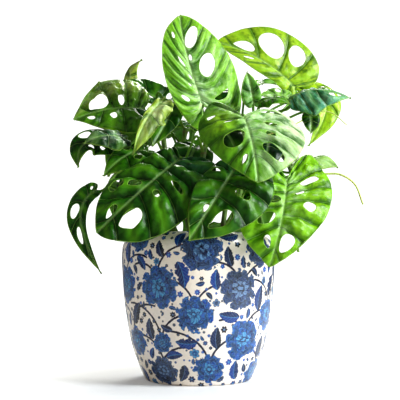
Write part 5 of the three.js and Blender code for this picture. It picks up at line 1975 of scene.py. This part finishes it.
def table_finish():
    """White, and glowing faintly for the camera only: more so further away from the pot."""
    material, tree, shader = new_material("white_table", Roughness=0.7)
    plug(tree, shader.inputs["Base Color"], paint("#e4e4e4"))
    plug(tree, shader.inputs["Emission Color"], paint("#ffffff"))
    to_camera = Wire(tree, tree.nodes.new("ShaderNodeLightPath").outputs["Is Camera Ray"])
    place = tree.nodes.new("ShaderNodeTexCoord")
    distance = tree.nodes.new("ShaderNodeVectorMath")
    distance.operation = "LENGTH"
    tree.links.new(place.outputs["Object"], distance.inputs[0])
    far = Wire(tree, distance.outputs["Value"]).over(GLOW_NEAR, GLOW_FAR)
    plug(tree, shader.inputs["Emission Strength"], (far * GLOW_MORE + GLOW_LEAST) * to_camera)
    return material


def white_table():
    """One square sheet at height 0."""
    mesh = bpy.data.meshes.new("table")
    corners = [(x * TABLE_HALF, y * TABLE_HALF, 0) for x, y in ((-1, -1), (1, -1), (1, 1), (-1, 1))]
    mesh.from_pydata(corners, [], [(0, 1, 2, 3)])
    mesh.materials.append(table_finish())
    table = bpy.data.objects.new("table", mesh)
    bpy.context.scene.collection.objects.link(table)


white_table()
print("the table is", 2 * TABLE_HALF, "m wide")

# %% [markdown]
# ## Light
#
# A window high at the right front is the main light. A weak warm one from the left opens the shadows, and
# one from behind edges the leaves and lets them shine through. The room's own light is low, since too much
# of it would lie over the dark leaves like a veil.

# %% Lights and room


def area_light(name, place, target, size, power, tint):
    """A rectangular light at a place, turned to a target. Its own -z axis is where it shines."""
    light = bpy.data.lights.new(name, "AREA")
    light.shape = "RECTANGLE"
    light.size = size[0]
    light.size_y = size[1]
    light.energy = power
    light.color = tint
    lamp = bpy.data.objects.new(name, light)
    lamp.location = place
    away = np.array(place) - np.array(target)
    tilt = math.atan2(math.hypot(away[0], away[1]), away[2])
    lamp.rotation_euler = (tilt, 0, math.atan2(away[1], away[0]) + math.pi / 2)
    bpy.context.scene.collection.objects.link(lamp)


LIGHTS = {
    "window": dict(
        place=(0.8, -0.35, 0.6), target=(0, 0, 0.18), size=(0.35, 0.35), power=14, tint=(0.92, 0.97, 1),
    ),
    "fill": dict(
        place=(-0.7, -0.9, 0.35), target=(0, 0, 0.12), size=(0.6, 0.6), power=0.75, tint=(1, 0.82, 0.6),
    ),
    "back": dict(
        place=(0.1, 0.6, 0.85), target=(0, 0, 0.25), size=(0.4, 0.3), power=8, tint=(1, 1, 0.95),
    ),
}
ROOM_LIGHT = 0.22
ROOM_WHITE = 1.08


def bright_room():
    """A world that is white to the camera and a dim white light to everything else."""
    world = bpy.data.worlds.new("room")
    world.use_nodes = True
    tree = world.node_tree
    background = tree.nodes["Background"]
    background.inputs["Color"].default_value = (1, 1, 1, 1)
    to_camera = Wire(tree, tree.nodes.new("ShaderNodeLightPath").outputs["Is Camera Ray"])
    plug(tree, background.inputs["Strength"], to_camera * (ROOM_WHITE - ROOM_LIGHT) + ROOM_LIGHT)
    bpy.context.scene.world = world


for name, light in LIGHTS.items():
    area_light(name, **light)
bright_room()
print("lights:", ", ".join(LIGHTS))

# %% [markdown]
# ## Camera
#
# The camera stands 65 cm in front of the pot's axis and 9 cm above the table, and looks up a little. This
# is where the pot's outline in the picture puts it. The Standard view shows colours as they are painted,
# with a little more contrast.

# %% Camera
LENS_MM, SENSOR_MM = 57.96, 36
CAMERA_PLACE = (0.0017, -0.650, 0.090)
CAMERA_TILT = math.radians(97.6)


def place_camera():
    """The camera that the picture is taken with."""
    camera = bpy.data.cameras.new("camera")
    camera.lens = LENS_MM
    camera.sensor_width = SENSOR_MM
    eye = bpy.data.objects.new("camera", camera)
    eye.location = CAMERA_PLACE
    eye.rotation_euler = (CAMERA_TILT, 0, 0)
    bpy.context.scene.collection.objects.link(eye)
    bpy.context.scene.camera = eye


place_camera()
view = bpy.context.scene.view_settings
view.view_transform = "Standard"
view.look = "Medium High Contrast"
print("camera field of view in degrees:", round(2 * math.degrees(math.atan(SENSOR_MM / 2 / LENS_MM)), 1))

# %% [markdown]
# It must lie inside the measured model's box, apart from what a real leaf's swelling adds.
